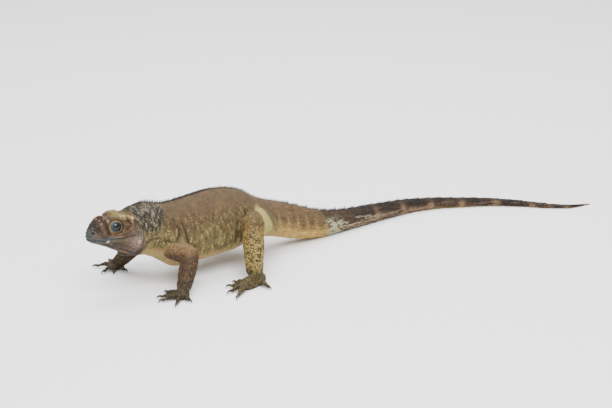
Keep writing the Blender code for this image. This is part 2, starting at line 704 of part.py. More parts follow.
def hand_pieces(arm):
    """Palm, five toes and their claws."""
    palm = Vector(arm["palm"])
    wrist = Vector(arm["wrist"])
    pieces = []
    middle = Vector((*arm["claws"][2], 0.0))
    ahead = (middle - palm)
    ahead.z = 0.0
    ahead.normalize()
    side = Vector((0, 0, 1)).cross(ahead)
    for i, claw in enumerate(arm["claws"]):
        out = Vector((*claw, 0.0)) - palm
        out.z = 0.0
        root = palm + out.normalized() * 0.0070
        root.z = 0.0060
        long = 0.0085 if i in (1, 2, 3) else 0.0072
        pieces.extend(toe("toe", root, claw, long))
    up = Vector((0, 0, 1))
    palm_radii = (0.0115, 0.0118, 0.0068)
    pieces.append(blob("palm", palm + up * 0.0004, palm_radii, (ahead, side, up), 12, 7))
    wrist_radii = (0.0084, 0.0080, 0.0074)
    pieces.append(fleshy("wrist", wrist + up * 0.0015, palm + up * 0.0010, wrist_radii, 10))
    return pieces


def foot_pieces(leg):
    """Heel, sole, five toes and their claws, the fourth toe the longest."""
    heel, ball, ankle = Vector(leg["heel"]), Vector(leg["ball"]), Vector(leg["ankle"])
    pieces = []
    for i, claw in enumerate(leg["claws"]):
        centre = ball if i < 4 else heel.lerp(ball, 0.18)
        out = Vector((*claw, 0.0)) - centre
        out.z = 0.0
        root = centre + out.normalized() * (0.0060 if i < 4 else 0.0030)
        root.z = 0.0064
        radii = (0.0050, 0.0041, 0.0034, 0.0029)
        pieces.extend(toe("toe", root, claw, 0.0095 if i in (1, 2, 3) else 0.0078, radii))
    pieces.append(fleshy("sole", heel, ball, (0.0088, 0.0090, 0.0098, 0.0098), 12, flat=0.78))
    pieces.append(fleshy("ankle", ankle + Vector((0, 0, 0.0010)), heel.lerp(ball, 0.2) + Vector((0, 0, 0.0010)),
                         (0.0108, 0.0102, 0.0090), 10))
    return pieces


ARM_RADII = {"upper": (0.0155, 0.0152, 0.0140, 0.0124), "fore": (0.0114, 0.0123, 0.0121, 0.0112, 0.0099)}
LEG_RADII = {"upper": (0.0190, 0.0195, 0.0182, 0.0165), "fore": (0.0140, 0.0146, 0.0140, 0.0128, 0.0118)}


def limb_segments(limb, joints, radii, grow=0.0):
    """The upper and lower lengths of one limb."""
    root, bend, end = (Vector(limb[j]) for j in joints)
    upper = fleshy("upper", root, bend, [r + grow for r in radii["upper"]], 14)
    lower = fleshy("fore", bend, end, [r + grow for r in radii["fore"]], 12)
    return upper, lower


def finish(obj, name, finish_material, floor=True):
    """Trims a node at the floor, keeps its one body, and gives it its finish."""
    if floor:
        boolean(obj, [below_floor("floor_trim")], "DIFFERENCE")
    obj = largest_only(obj, name)
    obj.data.name = name
    obj.data.materials.clear()
    obj.data.materials.append(finish_material)
    obj.data.shade_smooth()
    obj.data.set_sharp_from_angle(angle=math.radians(40))
    obj.data.transform(Matrix.Translation(-ORIGIN))
    return obj


def build_limb(spine, limb, joints, radii, tip_pieces, names, finishes):
    """Upper length, lower length and foot, each cut clear of the one before and of the body."""
    upper, lower = limb_segments(limb, joints, radii)
    foot = tip_pieces[0]
    boolean(foot, tip_pieces[1:], "UNION")
    _, lower_grown = limb_segments(limb, joints, radii, GAP)
    upper_grown, spare = limb_segments(limb, joints, radii, GAP)
    bpy.data.objects.remove(_)
    bpy.data.objects.remove(spare)
    body_grown = body_loft(spine, "body_grown", GAP)
    boolean(foot, [lower_grown], "DIFFERENCE")
    boolean(lower, [upper_grown], "DIFFERENCE")
    boolean(upper, [body_grown], "DIFFERENCE")
    body_again = body_loft(spine, "body_grown", GAP)
    boolean(lower, [body_again], "DIFFERENCE")
    for obj, name, look in zip((upper, lower, foot), names, finishes):
        finish(obj, name, look)


def part_body(body, spine, finishes):
    """Parts the finished body with thin cuts and names each piece by its place."""
    cutters = []
    for name, x in CUTS.items():
        distance = spine.distance_of_x(x)
        row = spine.at(distance)
        normal = spine.along(distance)
        centre = Vector((row[0], row[1], (row[2] + row[3]) / 2))
        if name == "torso":
            lean = Matrix.Rotation(NECK_CUT_LEAN, 3, "Y")
            normal = lean @ normal
        cutters.append(slab("cut", centre, normal, 0.075))
    boolean(body, cutters, "DIFFERENCE")
    names = ["head"] + list(CUTS)
    parts = loose_parts(body)[:len(names)]
    pieces = []
    for _, faces in parts:
        piece = keep_faces(body, "piece", faces)
        middle = sum(v.co.x for v in piece.data.vertices) / len(piece.data.vertices)
        pieces.append((middle, piece))
    bpy.data.objects.remove(body)
    for name, (_, piece) in zip(names, sorted(pieces, key=lambda item: item[0])):
        finish(piece, name, finishes[name])


def main():
    clear_scene()
    spine = Spine()
    skin = {
        "head": material("head_skin", HEAD_BROWN, 0.6),
        "neck": material("neck_skin", NECK_GREY, 0.75),
        "torso": material("body_skin", OLIVE, 0.7),
        "tail_1": material("tail_base_skin", TAIL_BASE_TAN, 0.7),
    }
    for name in ("tail_2", "tail_3", "tail_4", "tail_5"):
        skin[name] = material("tail_skin", TAIL_DARK, 0.65)
    arm = material("arm_skin", ARM_BROWN, 0.7)
    leg = material("leg_skin", LEG_YELLOW, 0.7)
    foot = material("foot_skin", FOOT_DARK, 0.65)
    eye = material("eye", EYE_BLACK, 0.1)

    body = body_loft(spine, "body")
    boolean(body, head_forms(spine) + crest(spine), "UNION")
    boolean(body, head_hollows(spine), "DIFFERENCE")
    part_body(body, spine, skin)

    for side, limb in (("left", ARM_LEFT), ("right", ARM_RIGHT)):
        names = [part + "_" + side for part in ("upper_arm", "forearm", "hand")]
        joints = ("shoulder", "elbow", "wrist")
        build_limb(spine, limb, joints, ARM_RADII, hand_pieces(limb), names, (arm, arm, foot))
    for side, limb in (("left", LEG_LEFT), ("right", LEG_RIGHT)):
        names = [part + "_" + side for part in ("thigh", "shin", "foot")]
        joints = ("hip", "knee", "ankle")
        build_limb(spine, limb, joints, LEG_RADII, foot_pieces(limb), names, (leg, leg, foot))
    for side, sign in (("left", 1.0), ("right", -1.0)):
        finish(eye_ball("ball", sign, EYE_RADIUS), "eye_" + side, eye, floor=False)


main()
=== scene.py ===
"""The looks of a life-size rhinoceros iguana, half grown, as a museum shows it.

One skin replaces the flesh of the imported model. Scales, plates, crest, eyes and claws are meshes over it.
Places measured along the animal use the body's own frame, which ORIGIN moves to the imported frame.
"""

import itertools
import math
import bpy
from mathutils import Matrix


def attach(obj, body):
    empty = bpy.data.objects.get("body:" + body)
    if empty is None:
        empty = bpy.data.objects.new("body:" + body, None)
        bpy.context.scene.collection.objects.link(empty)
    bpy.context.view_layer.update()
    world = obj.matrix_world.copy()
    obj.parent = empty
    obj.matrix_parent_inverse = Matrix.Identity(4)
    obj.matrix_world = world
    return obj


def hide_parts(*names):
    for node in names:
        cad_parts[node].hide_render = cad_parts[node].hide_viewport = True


bl_info = {
    "name": "Rhinoceros iguana",
    "version": (1, 0, 0),
    "blender": (4, 5, 0),
    "location": "View3D > Sidebar > Iguana",
    "description": "Skin, scales, eyes, claws and crest of a still rhinoceros iguana",
    "category": "Object",
}

import bmesh
import bpy
import numpy as np
from bpy.props import FloatProperty, FloatVectorProperty, PointerProperty
from mathutils import Vector
from mathutils.bvhtree import BVHTree
from mathutils.kdtree import KDTree

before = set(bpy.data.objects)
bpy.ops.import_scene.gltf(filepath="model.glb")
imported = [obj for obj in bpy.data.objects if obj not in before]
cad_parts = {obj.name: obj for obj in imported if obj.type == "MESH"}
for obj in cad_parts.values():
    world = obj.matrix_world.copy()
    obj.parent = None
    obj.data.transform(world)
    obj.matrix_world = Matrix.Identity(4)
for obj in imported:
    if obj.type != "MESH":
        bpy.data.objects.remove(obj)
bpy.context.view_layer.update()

# All lengths are in metres. The body's own frame: x from nose to tail, y to the right, z up from the floor
ORIGIN = np.array((0.1880, -0.0189, 0.0))
HEAD_PITCH = math.radians(3.0)
HEAD_BASE = np.array((-0.1485, -0.0172, 0.0815)) - ORIGIN
# The head's frame: forward of the nape, out to the side, and up from the line of the mouth
EYE_AT = (0.0374, 0.0114, 0.0152)
EYE_LOOKS = (0.16, 0.97, 0.10)
LID_OPEN = (0.0061, 0.0057)
EAR_AT = (0.0072, 0.0030)
EAR_OVAL = 0.92
NOSTRIL_AT = (0.0706, 0.0084, 0.0093)
# Places along the body, and the swell of each whorl of the tail
ARMS_END_X = -0.0755
HIPS_Y = -0.0055
WHORL_STEP = 0.0180
WHORL_SWELL = 0.0009
WHORLS_START_X = 0.1100
TIP_START_X = 0.5350
# Lowest places of the skin, of a scale and of a scale's root
SKIN_FLOOR = 0.0003
SCALE_FLOOR = 0.0002
ROOT_FLOOR = 0.0012
UP = np.array((0.0, 0.0, 1.0))
DOWN = (0.0, 0.0, -1.0)
TAILWARD = (1.0, 0.0, 0.0)
FLAT = (1, 1, 0)
SIDES = (1.0, -1.0)
# How many points are worked on at once, and the turn of the rings' seam
BATCH = 4000
SEAM_TURN = 0.01
# Painted shade of the gaps between scales: how much darker the skin is painted where it shows between them.
# Two plain colours, the black being the painted shade inside the nostrils
SHADE_BETWEEN_SCALES = 0.58
WHITE, NOSTRIL_SHADE = (0.55, 0.56, 0.52), (0.004, 0.003, 0.003)

# The photograph's camera, and the lamps, which look at the origin, with place, side and power
CAMERA_AT = (-1.7100, -1.9577, 0.8700)
CAMERA_LOOKS = (0.6194, 0.7252, -0.3007)
FOCAL_PIXELS = 1900.0
PICTURE_WIDTH = 612.0
SENSOR = 36.0
SKY_STRENGTH = 0.80
LAMPS = (("key", (-1.0, -1.4, 2.2), 1.8, 140.0), ("top", (0.6, 0.8, 2.4), 2.4, 100.0))

# Ring stations, nose to tail: x, y, top, bottom, half width, roundness above and below, waist height
STATIONS = [
    (-0.2210, -0.0172, 0.0905, 0.0845, 0.0028, 2.0, 2.0, 0.50),
    (-0.2195, -0.0172, 0.0955, 0.0820, 0.0066, 2.1, 2.0, 0.45),
    (-0.2160, -0.0172, 0.1010, 0.0797, 0.0100, 2.2, 2.0, 0.42),
    (-0.2110, -0.0172, 0.1070, 0.0775, 0.0125, 2.2, 2.0, 0.42),
    (-0.2055, -0.0172, 0.1112, 0.0750, 0.0143, 2.3, 2.0, 0.42),
    (-0.1990, -0.0172, 0.1122, 0.0720, 0.0158, 2.5, 2.0, 0.42),
    (-0.1920, -0.0172, 0.1108, 0.0685, 0.0174, 2.7, 2.0, 0.42),
    (-0.1840, -0.0172, 0.1090, 0.0640, 0.0194, 2.7, 2.1, 0.42),
    (-0.1730, -0.0172, 0.1082, 0.0583, 0.0220, 2.6, 2.1, 0.44),
    (-0.1640, -0.0172, 0.1102, 0.0538, 0.0236, 2.4, 2.0, 0.46),
    (-0.1560, -0.0172, 0.1148, 0.0505, 0.0244, 2.2, 2.0, 0.46),
    (-0.1480, -0.0170, 0.1175, 0.0480, 0.0247, 2.0, 2.0, 0.48),
    (-0.1360, -0.0168, 0.1182, 0.0460, 0.0262, 1.9, 2.0, 0.48),
    (-0.1200, -0.0162, 0.1150, 0.0390, 0.0290, 1.8, 2.0, 0.46),
    (-0.1040, -0.0152, 0.1108, 0.0292, 0.0330, 1.8, 2.1, 0.45),
    (-0.0850, -0.0140, 0.1095, 0.0188, 0.0375, 1.8, 2.1, 0.45),
    (-0.0550, -0.0110, 0.1100, 0.0190, 0.0430, 1.8, 2.2, 0.44),
    (-0.0200, -0.0085, 0.1110, 0.0200, 0.0470, 1.8, 2.3, 0.43),
    (0.0120, -0.0065, 0.1070, 0.0220, 0.0465, 1.8, 2.3, 0.43),
    (0.0400, -0.0055, 0.0985, 0.0262, 0.0415, 1.8, 2.3, 0.44),
    (0.0620, -0.0055, 0.0850, 0.0262, 0.0350, 1.8, 2.2, 0.45),
    (0.0820, -0.0055, 0.0755, 0.0228, 0.0295, 1.8, 2.2, 0.45),
    (0.1050, -0.0060, 0.0685, 0.0165, 0.0250, 1.8, 2.2, 0.45),
    (0.1440, -0.0070, 0.0535, 0.0070, 0.0210, 1.7, 2.2, 0.45),
    (0.1850, -0.0080, 0.0390, 0.0008, 0.0172, 1.7, 2.2, 0.45),
    (0.2350, -0.0070, 0.0296, -0.0008, 0.0142, 1.7, 2.2, 0.45),
    (0.2900, -0.0060, 0.0252, -0.0008, 0.0122, 1.7, 2.2, 0.45),
    (0.3450, -0.0070, 0.0214, -0.0008, 0.0104, 1.7, 2.2, 0.45),
    (0.3970, -0.0180, 0.0172, -0.0008, 0.0085, 1.8, 2.1, 0.45),
    (0.4380, -0.0400, 0.0148, -0.0008, 0.0073, 1.8, 2.1, 0.45),
    (0.4770, -0.0660, 0.0125, -0.0008, 0.0062, 1.8, 2.0, 0.45),
    (0.5090, -0.0980, 0.0102, -0.0008, 0.0051, 1.8, 2.0, 0.45),
    (0.5370, -0.1330, 0.0079, -0.0007, 0.0041, 1.9, 2.0, 0.45),
    (0.5620, -0.1540, 0.0060, -0.0006, 0.0031, 2.0, 2.0, 0.45),
    (0.5970, -0.1610, 0.0024, -0.0002, 0.0011, 2.0, 2.0, 0.45),
]

# Limbs: joints on the centre lines of the flesh, and the tips of the claws
ARMS = {
    "left": {
        "root": (-0.1070, -0.0350, 0.0565), "bend": (-0.0925, -0.0675, 0.0475),
        "end": (-0.1165, -0.0840, 0.0140), "palm": (-0.1235, -0.0870, 0.0062),
        "claws": [(-0.1285, -0.0550), (-0.1490, -0.0666), (-0.1575, -0.0815), (-0.1500, -0.1090),
                  (-0.1240, -0.1110)],
    },
    "right": {
        "root": (-0.1070, 0.0030, 0.0565), "bend": (-0.0955, 0.0345, 0.0480),
        "end": (-0.1180, 0.0580, 0.0145), "palm": (-0.1220, 0.0660, 0.0062),
        "claws": [(-0.1180, 0.0420), (-0.1380, 0.0475), (-0.1500, 0.0595), (-0.1430, 0.0910),
                  (-0.1110, 0.0985)],
    },
}
LEGS = {
    "left": {
        "root": (0.0560, -0.0320, 0.0560), "bend": (0.0085, -0.0735, 0.0680),
        "end": (-0.0120, -0.1025, 0.0180), "heel": (-0.0070, -0.1085, 0.0075),
        "ball": (-0.0340, -0.1130, 0.0062),
        "claws": [(-0.0360, -0.0840), (-0.0540, -0.0925), (-0.0690, -0.1140), (-0.0730, -0.1385),
                  (-0.0140, -0.1400)],
    },
    "right": {
        "root": (0.0560, 0.0210, 0.0560), "bend": (0.0370, 0.0640, 0.0600), "end": (0.0830, 0.0800, 0.0175),
        "heel": (0.0850, 0.0860, 0.0075), "ball": (0.0580, 0.0960, 0.0062),
        "claws": [(0.0480, 0.0700), (0.0300, 0.0840), (0.0190, 0.1010), (0.0240, 0.1240), (0.0860, 0.1200)],
    },
}
ARM_RADII = {"upper": (0.0155, 0.0152, 0.0140, 0.0124), "lower": (0.0114, 0.0123, 0.0121, 0.0112, 0.0099)}
LEG_RADII = {"upper": (0.0190, 0.0195, 0.0182, 0.0165), "lower": (0.0140, 0.0146, 0.0140, 0.0128, 0.0118)}
HAND_TOE_RADII = (0.0044, 0.0036, 0.0031, 0.0027)
FOOT_TOE_RADII = (0.0050, 0.0041, 0.0034, 0.0029)
# Lengths of the outer claws and of the middle ones, their radii at root and tip, and the arch of a toe
HAND_CLAWS = (0.0072, 0.0085)
FOOT_CLAWS = (0.0078, 0.0095)
CLAW_RADII = (0.0018, 0.00012)
MIDDLE_TOES = (1, 2, 3)
TOE_ARCH = 0.0020

FLESH_NODES = ["head", "neck", "torso"] + ["tail_" + str(i) for i in range(1, 6)] + [
    part + "_" + side for side in ("left", "right")
    for part in ("upper_arm", "forearm", "hand", "thigh", "shin", "foot")
]
MADE = {}


def hue(code):
    """A colour written as six hexadecimal digits, as linear red, green and blue."""
    parts = [int(code[i:i + 2], 16) / 255 for i in (0, 2, 4)]
    return tuple(p / 12.92 if p <= 0.04045 else ((p + 0.055) / 1.055) ** 2.4 for p in parts)


def tone(name, code, note):
    return FloatVectorProperty(name=name, description=note, subtype="COLOR", default=hue(code),
                               min=0.0, max=1.0)


def metres(name, default, note):
    return FloatProperty(name=name, description=note, subtype="DISTANCE", unit="LENGTH", default=default,
                         min=0.0, precision=5)


class IguanaSizes(bpy.types.PropertyGroup):
    """Sizes of the skin, scales, eyes, crest and claws."""
    coat_depth: metres("Coat depth", 0.0005, "How far the skin lies inside the packed solids")
    skin_grid: metres("Skin grid", 0.0019, "Side of a face of the skin, before the head is refined")
    eye_radius: metres("Eye radius", 0.0076, "Radius of the eyeball")
    body_scale: metres("Body scale", 0.0020, "Width of one scale of the back and flanks")
    tail_scale: metres("Tail scale", 0.0030, "Width of one scale of the tail")
    limb_scale: metres("Limb scale", 0.0017, "Width of one scale of the arms and legs")
    head_plate: metres("Head plate", 0.0017, "Spacing of the plates of the head")
    crest_height: metres("Crest height", 0.0046, "Height of the tallest crest spine")


class IguanaColours(bpy.types.PropertyGroup):
    """Colours of the markings."""
    back: tone("Back", "55432b", "Brown of the back")
    flank: tone("Flank", "6e603a", "Olive of the flanks")
    belly: tone("Belly", "ad925c", "Tan of the belly")
    speckle: tone("Speckle", "a89c5c", "Yellow green speckles of the flanks")
    neck: tone("Neck", "332c25", "Grey of the upper neck")
    neck_dot: tone("Neck dot", "827964", "Cream tips of the neck's tubercles")
    crown: tone("Crown", "433524", "Brown of the head")
    head_tan: tone("Head tan", "76583a", "Orange tan of the face")
    snout_dark: tone("Dark stripe", "1c130b", "Dark stripes of the snout")
    lip: tone("Lip", "3f484b", "Blue grey of the lips")
    lid: tone("Lid", "474f52", "Pale blue grey of the eyelids")
    lid_rim: tone("Lid rim", "a8a472", "Yellow green rim of the eyelids")
    boss: tone("Boss", "a5935a", "Yellow of the knobs behind the brow")
    jowl: tone("Jowl", "806a5f", "Pinkish grey of the jowls")
    plate: tone("Plate", "9c9084", "Pale plate below the ear")
    hip: tone("Hip fold", "b5ab60", "Pale green of the loose skin behind the thighs")
    fold: tone("Fold", "7a6c48", "Yellow green of the folds")
    arm: tone("Arm", "6e5030", "Rust brown of the arms")
    leg: tone("Leg", "998244", "Yellow tan of the legs")
    dot: tone("Dot", "1e170e", "Black speckles of the legs")
    foot: tone("Foot", "362c19", "Olive brown of the feet")
    tail_top: tone("Tail top", "655034", "Brown of the tail's base")
    tail_under: tone("Tail under", "ba9850", "Orange tan below the tail's base")
    tail_dark: tone("Tail dark", "26150f", "Dark brown of the tail")
    tail_band: tone("Tail band", "84694f", "Tan bands of the tail")
    tail_green: tone("Tail green", "a3a181", "Pale green where the tail turns dark")
    claw: tone("Claw", "251b12", "Dark horn of the claws")
    floor: tone("Floor", "f4f4f4", "The plain pale floor")


# Curves and noise

def smooth_columns(knots, rows, wanted):
    """Monotone cubic curves through the rows, read at the wanted knots."""
    steps = np.diff(knots)[:, None]
    slopes = np.diff(rows, axis=0) / steps
    tangents = np.zeros_like(rows)
    tangents[0], tangents[-1] = slopes[0], slopes[-1]
    same_way = slopes[:-1] * slopes[1:] > 0
    before, after = steps[:-1], steps[1:]
    weight_a, weight_b = 2 * after + before, after + 2 * before
    safe_a = np.where(same_way, slopes[:-1], 1.0)
    safe_b = np.where(same_way, slopes[1:], 1.0)
    mean = (weight_a + weight_b) / (weight_a / safe_a + weight_b / safe_b)
    tangents[1:-1] = np.where(same_way, mean, 0.0)
    i = np.clip(np.searchsorted(knots, wanted, side="right") - 1, 0, len(knots) - 2)
    h = (knots[i + 1] - knots[i])[:, None]
    t = ((wanted - knots[i])[:, None]) / h
    return ((2 * t**3 - 3 * t**2 + 1) * rows[i] + (t**3 - 2 * t**2 + t) * h * tangents[i]
            + (3 * t**2 - 2 * t**3) * rows[i + 1] + (t**3 - t**2) * h * tangents[i + 1])


def rise(low, high, values):
    """A smooth step from 0 at low to 1 at high."""
    t = np.clip((np.asarray(values, float) - low) / (high - low), 0.0, 1.0)
    return t * t * (3 - 2 * t)


def bell(values, width):
    return np.exp(-((np.asarray(values) / width) ** 2))


def lumps(points, size, seed):
    """Smooth noise from -1 to 1, with lumps of this size."""
    cells = points / size
    base = np.floor(cells).astype(np.int64)
    t = cells - base
    t = t * t * (3 - 2 * t)
    total = np.zeros(len(points))
    for corner in itertools.product((0, 1), repeat=3):
        key = base + np.array(corner)
        h = (key[:, 0] * 73856093) ^ (key[:, 1] * 19349663) ^ (key[:, 2] * 83492791) ^ (seed * 2654435761)
        h = (h & 0xffffffff) * 1274126177 & 0xffffffff
        h = ((h ^ (h >> 13)) * 1103515245 + 12345) & 0xffffffff
        value = ((h ^ (h >> 16)) & 0xffff) / 32767.5 - 1
        weight = np.prod(np.where(np.array(corner) == 1, t, 1 - t), axis=1)
        total += weight * value
    return total


def unit(vectors):
    return vectors / np.maximum(np.linalg.norm(vectors, axis=-1, keepdims=True), 1e-12)


def turns_round(count):
    return np.linspace(0, 2 * np.pi, count, endpoint=False)


def path_axes(path):
    """Directions along, beside and over a path at each of its points."""
    ahead = unit(np.gradient(path, axis=0))
    side = unit(np.cross(ahead, UP))
    return ahead, side, np.cross(side, ahead)


class BodyLine:
    """The centre line of the body and its section at any distance along it."""

    def __init__(self):
        self.rows = np.array(STATIONS, float)
        self.rows[:, :2] -= ORIGIN[:2]
        steps = np.hypot(np.diff(self.rows[:, 0]), np.diff(self.rows[:, 1]))
        self.knots = np.concatenate([[0.0], np.cumsum(steps)])
        self.length = float(self.knots[-1])
        self.fine = np.linspace(0.0, self.length, 1400)
        self.fine_rows = self.at(self.fine)
        self.whorls = self.distance(WHORLS_START_X)

    def at(self, distances):
        return smooth_columns(self.knots, self.rows, np.atleast_1d(np.asarray(distances, float)))

    def distance(self, body_x):
        """Distance along the line of a station's x in the body's own frame."""
        return float(np.interp(body_x - ORIGIN[0], self.fine_rows[:, 0], self.fine))

    def along(self, distances):
        a = self.at(np.clip(distances - 0.002, 0, self.length))
        b = self.at(np.clip(distances + 0.002, 0, self.length))
        flat = unit((b - a)[:, :2])
        return np.column_stack([flat, np.zeros(len(flat))])

    def section(self, distances, turns, grow=0.0):
        """Points of the section at each distance and turn: 90 degrees at the crown, 0 on the right side."""
        x, y, top, bottom, half, over, under, waist = self.at(distances).T
        top, bottom, half = top + grow, bottom - grow, half + grow
        middle = bottom + (top - bottom) * waist
        c, s = np.cos(turns), np.sin(turns)
        power = 2.0 / np.where(s > 0, over, under)
        across = half * np.sign(c) * np.abs(c) ** power
        reach = np.where(s > 0, top - middle, middle - bottom)
        height = middle + reach * np.sign(s) * np.abs(s) ** power
        along = self.along(np.atleast_1d(distances))
        side = np.column_stack([-along[:, 1], along[:, 0], np.zeros(len(along))])
        return np.column_stack([x, y, height]) + side * across[:, None]

    def swell(self, distances):
        """How far the tail swells in each whorl."""
        share = ((distances + 1e-6 - self.whorls) / WHORL_STEP) % 1.0
        x = self.at(distances)[:, 0] + ORIGIN[0]
        fade = np.clip((0.56 - x) / 0.30, 0, 1)
        return np.where(x < WHORLS_START_X, 0.0, WHORL_SWELL * share * fade)

    def coords(self, points):
        """For each point: distance along, turn round the section, and how far out (1 on the surface)."""
        nearest = np.empty(len(points), int)
        for start in range(0, len(points), BATCH):
            part = points[start:start + BATCH]
            gap = ((part[:, 0:1] - self.fine_rows[None, :, 0]) ** 2
                   + (part[:, 1:2] - self.fine_rows[None, :, 1]) ** 2)
            nearest[start:start + BATCH] = gap.argmin(1)
        distances = self.fine[nearest]
        along = self.along(distances)
        offset = points[:, :2] - self.fine_rows[nearest, :2]
        distances = np.clip(distances + (offset * along[:, :2]).sum(1), 0, self.length)
        x, y, top, bottom, half, over, under, waist = self.at(distances).T
        along = self.along(distances)
        across = (points[:, 0] - x) * -along[:, 1] + (points[:, 1] - y) * along[:, 0]
        middle = bottom + (top - bottom) * waist
        height = points[:, 2] - middle
        reach = np.where(height > 0, top - middle, middle - bottom)
        power = np.where(height > 0, over, under)
        a, b = np.abs(across) / half, np.abs(height) / reach
        out = (a**power + b**power) ** (1 / power)
        turn = np.arctan2(np.sign(height) * b ** (power / 2), np.sign(across) * a ** (power / 2))
        return distances, turn, out


LINE = BodyLine()
AHEAD = np.array((-math.cos(HEAD_PITCH), 0.0, math.sin(HEAD_PITCH)))
LEFT = np.array((0.0, -1.0, 0.0))
OVER = np.array((math.sin(HEAD_PITCH), 0.0, math.cos(HEAD_PITCH)))


def head_point(forward, side, up):
    return HEAD_BASE + AHEAD * forward + LEFT * side + OVER * up


def head_coords(points):
    """Forward from the nape, out to the animal's left, and up from the mouth line."""
    offset = points - HEAD_BASE
    return offset @ AHEAD, offset @ LEFT, offset @ OVER


def eye_axes(sign):
    """Centre of one eyeball and its look, fore and upward directions."""
    forward, side, up = EYE_AT
    look = unit(AHEAD * EYE_LOOKS[0] + LEFT * EYE_LOOKS[1] * sign + OVER * EYE_LOOKS[2])
    fore = unit(AHEAD - look * (AHEAD @ look))
    return head_point(forward, side * sign, up), look, fore, unit(np.cross(look, fore) * sign)


def eye_coords(points, sign):
    """Each point as an eye looks at it: ahead, above and out of its middle, and the ring, 1 at the lids."""
    centre, look, fore, over = eye_axes(sign)
    offset = points - centre
    ahead, above, out = offset @ fore, offset @ over, offset @ look
    return ahead, above, out, np.hypot(ahead / LID_OPEN[0], above / LID_OPEN[1])


def ear_gap(forward, up, oval=1.0):
    return np.hypot((forward - EAR_AT[0]) / oval, up - EAR_AT[1])


def mouth_height(forward):
    """Height of the line of the closed mouth in the head's frame."""
    return 0.0005 - 0.0024 * bell(forward - 0.0560, 0.0075)


# Shells and meshes

def pairs(rings, sides, first=0):
    """Each point of every ring but the last, with the next one round its ring."""
    for start in range(first, first + (rings - 1) * sides, sides):
        for j in range(sides):
            yield start + j, start + (j + 1) % sides


class Shells:
    """Closed shells gathered into one mesh."""

    def __init__(self):
        self.points, self.faces, self.count = [], [], 0

    def add(self, points, faces):
        self.points.append(np.asarray(points, float))
        self.faces.extend([tuple(i + self.count for i in face) for face in faces])
        self.count += len(points)

    def loft(self, rings):
        rings = np.asarray(rings, float)
        count, sides = rings.shape[:2]
        points = np.concatenate([rings.reshape(-1, 3), rings[0].mean(0)[None], rings[-1].mean(0)[None]])
        faces = [(a, b, b + sides, a + sides) for a, b in pairs(count, sides)]
        last = (count - 1) * sides
        faces += [((j + 1) % sides, j, count * sides) for j in range(sides)]
        faces += [(last + j, last + (j + 1) % sides, count * sides + 1) for j in range(sides)]
        self.add(points, faces)

    def tube(self, path, radii, sides, flat=1.0):
        path, radii = np.asarray(path, float), np.asarray(radii, float)
        _, side, over = path_axes(path)
        turns = turns_round(sides)
        rings = (path[:, None] + side[:, None] * radii[:, None, None] * np.cos(turns)[None, :, None]
                 + over[:, None] * radii[:, None, None] * flat * np.sin(turns)[None, :, None])
        self.loft(rings[:, ::-1])

    def blob(self, centre, radii, axes, sides=24, rings=14):
        lat = np.linspace(-np.pi / 2, np.pi / 2, rings)[1:-1]
        turns, made = turns_round(sides), []
        for a in lat:
            made.append(centre + axes[0] * radii[0] * math.sin(a)
                        + math.cos(a) * (np.cos(turns)[:, None] * axes[1] * radii[1]
                                         + np.sin(turns)[:, None] * axes[2] * radii[2]))
        self.loft(np.array(made)[:, ::-1])

    def mesh(self, name):
        mesh = bpy.data.meshes.new(name)
        mesh.from_pydata(np.concatenate(self.points).tolist(), [], self.faces)
        return mesh


def lengths_along(path):
    return np.concatenate([[0.0], np.cumsum(np.linalg.norm(np.diff(path, axis=0), axis=1))])


def resample(path, radii, step):
    """A smooth path through the given points, with radii, at about this step."""
    path, radii = np.asarray(path, float), np.asarray(radii, float)
    lengths = lengths_along(path)
    count = max(4, int(lengths[-1] / step))
    fine = smooth_columns(lengths, np.column_stack([path, radii]), np.linspace(0, lengths[-1], count))
    return fine[:, :3], fine[:, 3]


def fleshy(start, end, radii):
    """Path and radii of a length of limb with round ends, as in the solids."""
    start, end = np.array(start, float), np.array(end, float)
    ahead = unit(end - start)
    shares = np.linspace(0, 1, len(radii))
    path = [start + (end - start) * share for share in shares]
    widths = list(radii)
    for reach, width in ((0.62, 0.66), (0.85, 0.36)):
        path.insert(0, start - ahead * radii[0] * reach)
        widths.insert(0, radii[0] * width)
        path.append(end + ahead * radii[-1] * reach)
        widths.append(radii[-1] * width)
    return np.array(path), np.array(widths)


def link(name, data, material=None, smooth=True):
    obj = bpy.data.objects.new(name, data)
    bpy.context.scene.collection.objects.link(obj)
    if material is not None:
        data.materials.clear()
        data.materials.append(material)
    if smooth:
        data.shade_smooth()
    return obj


def array_mesh(name, points, faces):
    """A mesh from arrays, with faces of one size."""
    mesh = bpy.data.meshes.new(name)
    faces = np.asarray(faces, np.int32)
    count, size = faces.shape
    mesh.vertices.add(len(points))
    mesh.vertices.foreach_set("co", np.ascontiguousarray(points, np.float32).ravel())
    mesh.loops.add(count * size)
    mesh.loops.foreach_set("vertex_index", faces.ravel())
    mesh.polygons.add(count)
    mesh.polygons.foreach_set("loop_start", np.arange(0, count * size, size, dtype=np.int32))
    mesh.update(calc_edges=True)
    mesh.validate()
    return mesh


def read_rows(source, name):
    rows = np.empty(len(source) * 3, np.float32)
    source.foreach_get(name, rows)
    return rows.reshape(-1, 3).astype(float)


def read_points(mesh):
    return read_rows(mesh.vertices, "co")


def read_normals(mesh):
    return read_rows(mesh.vertex_normals, "vector")


def write_points(mesh, points):
    mesh.vertices.foreach_set("co", points.astype(np.float32).ravel())
    mesh.update()


def paint(mesh, colours):
    """Stores linear colours, one to a point, as the attribute that the materials read."""
    layer = mesh.attributes.new("tone", "FLOAT_COLOR", "POINT")
    data = np.column_stack([colours, np.ones(len(colours))]).astype(np.float32)
    layer.data.foreach_set("color", data.ravel())


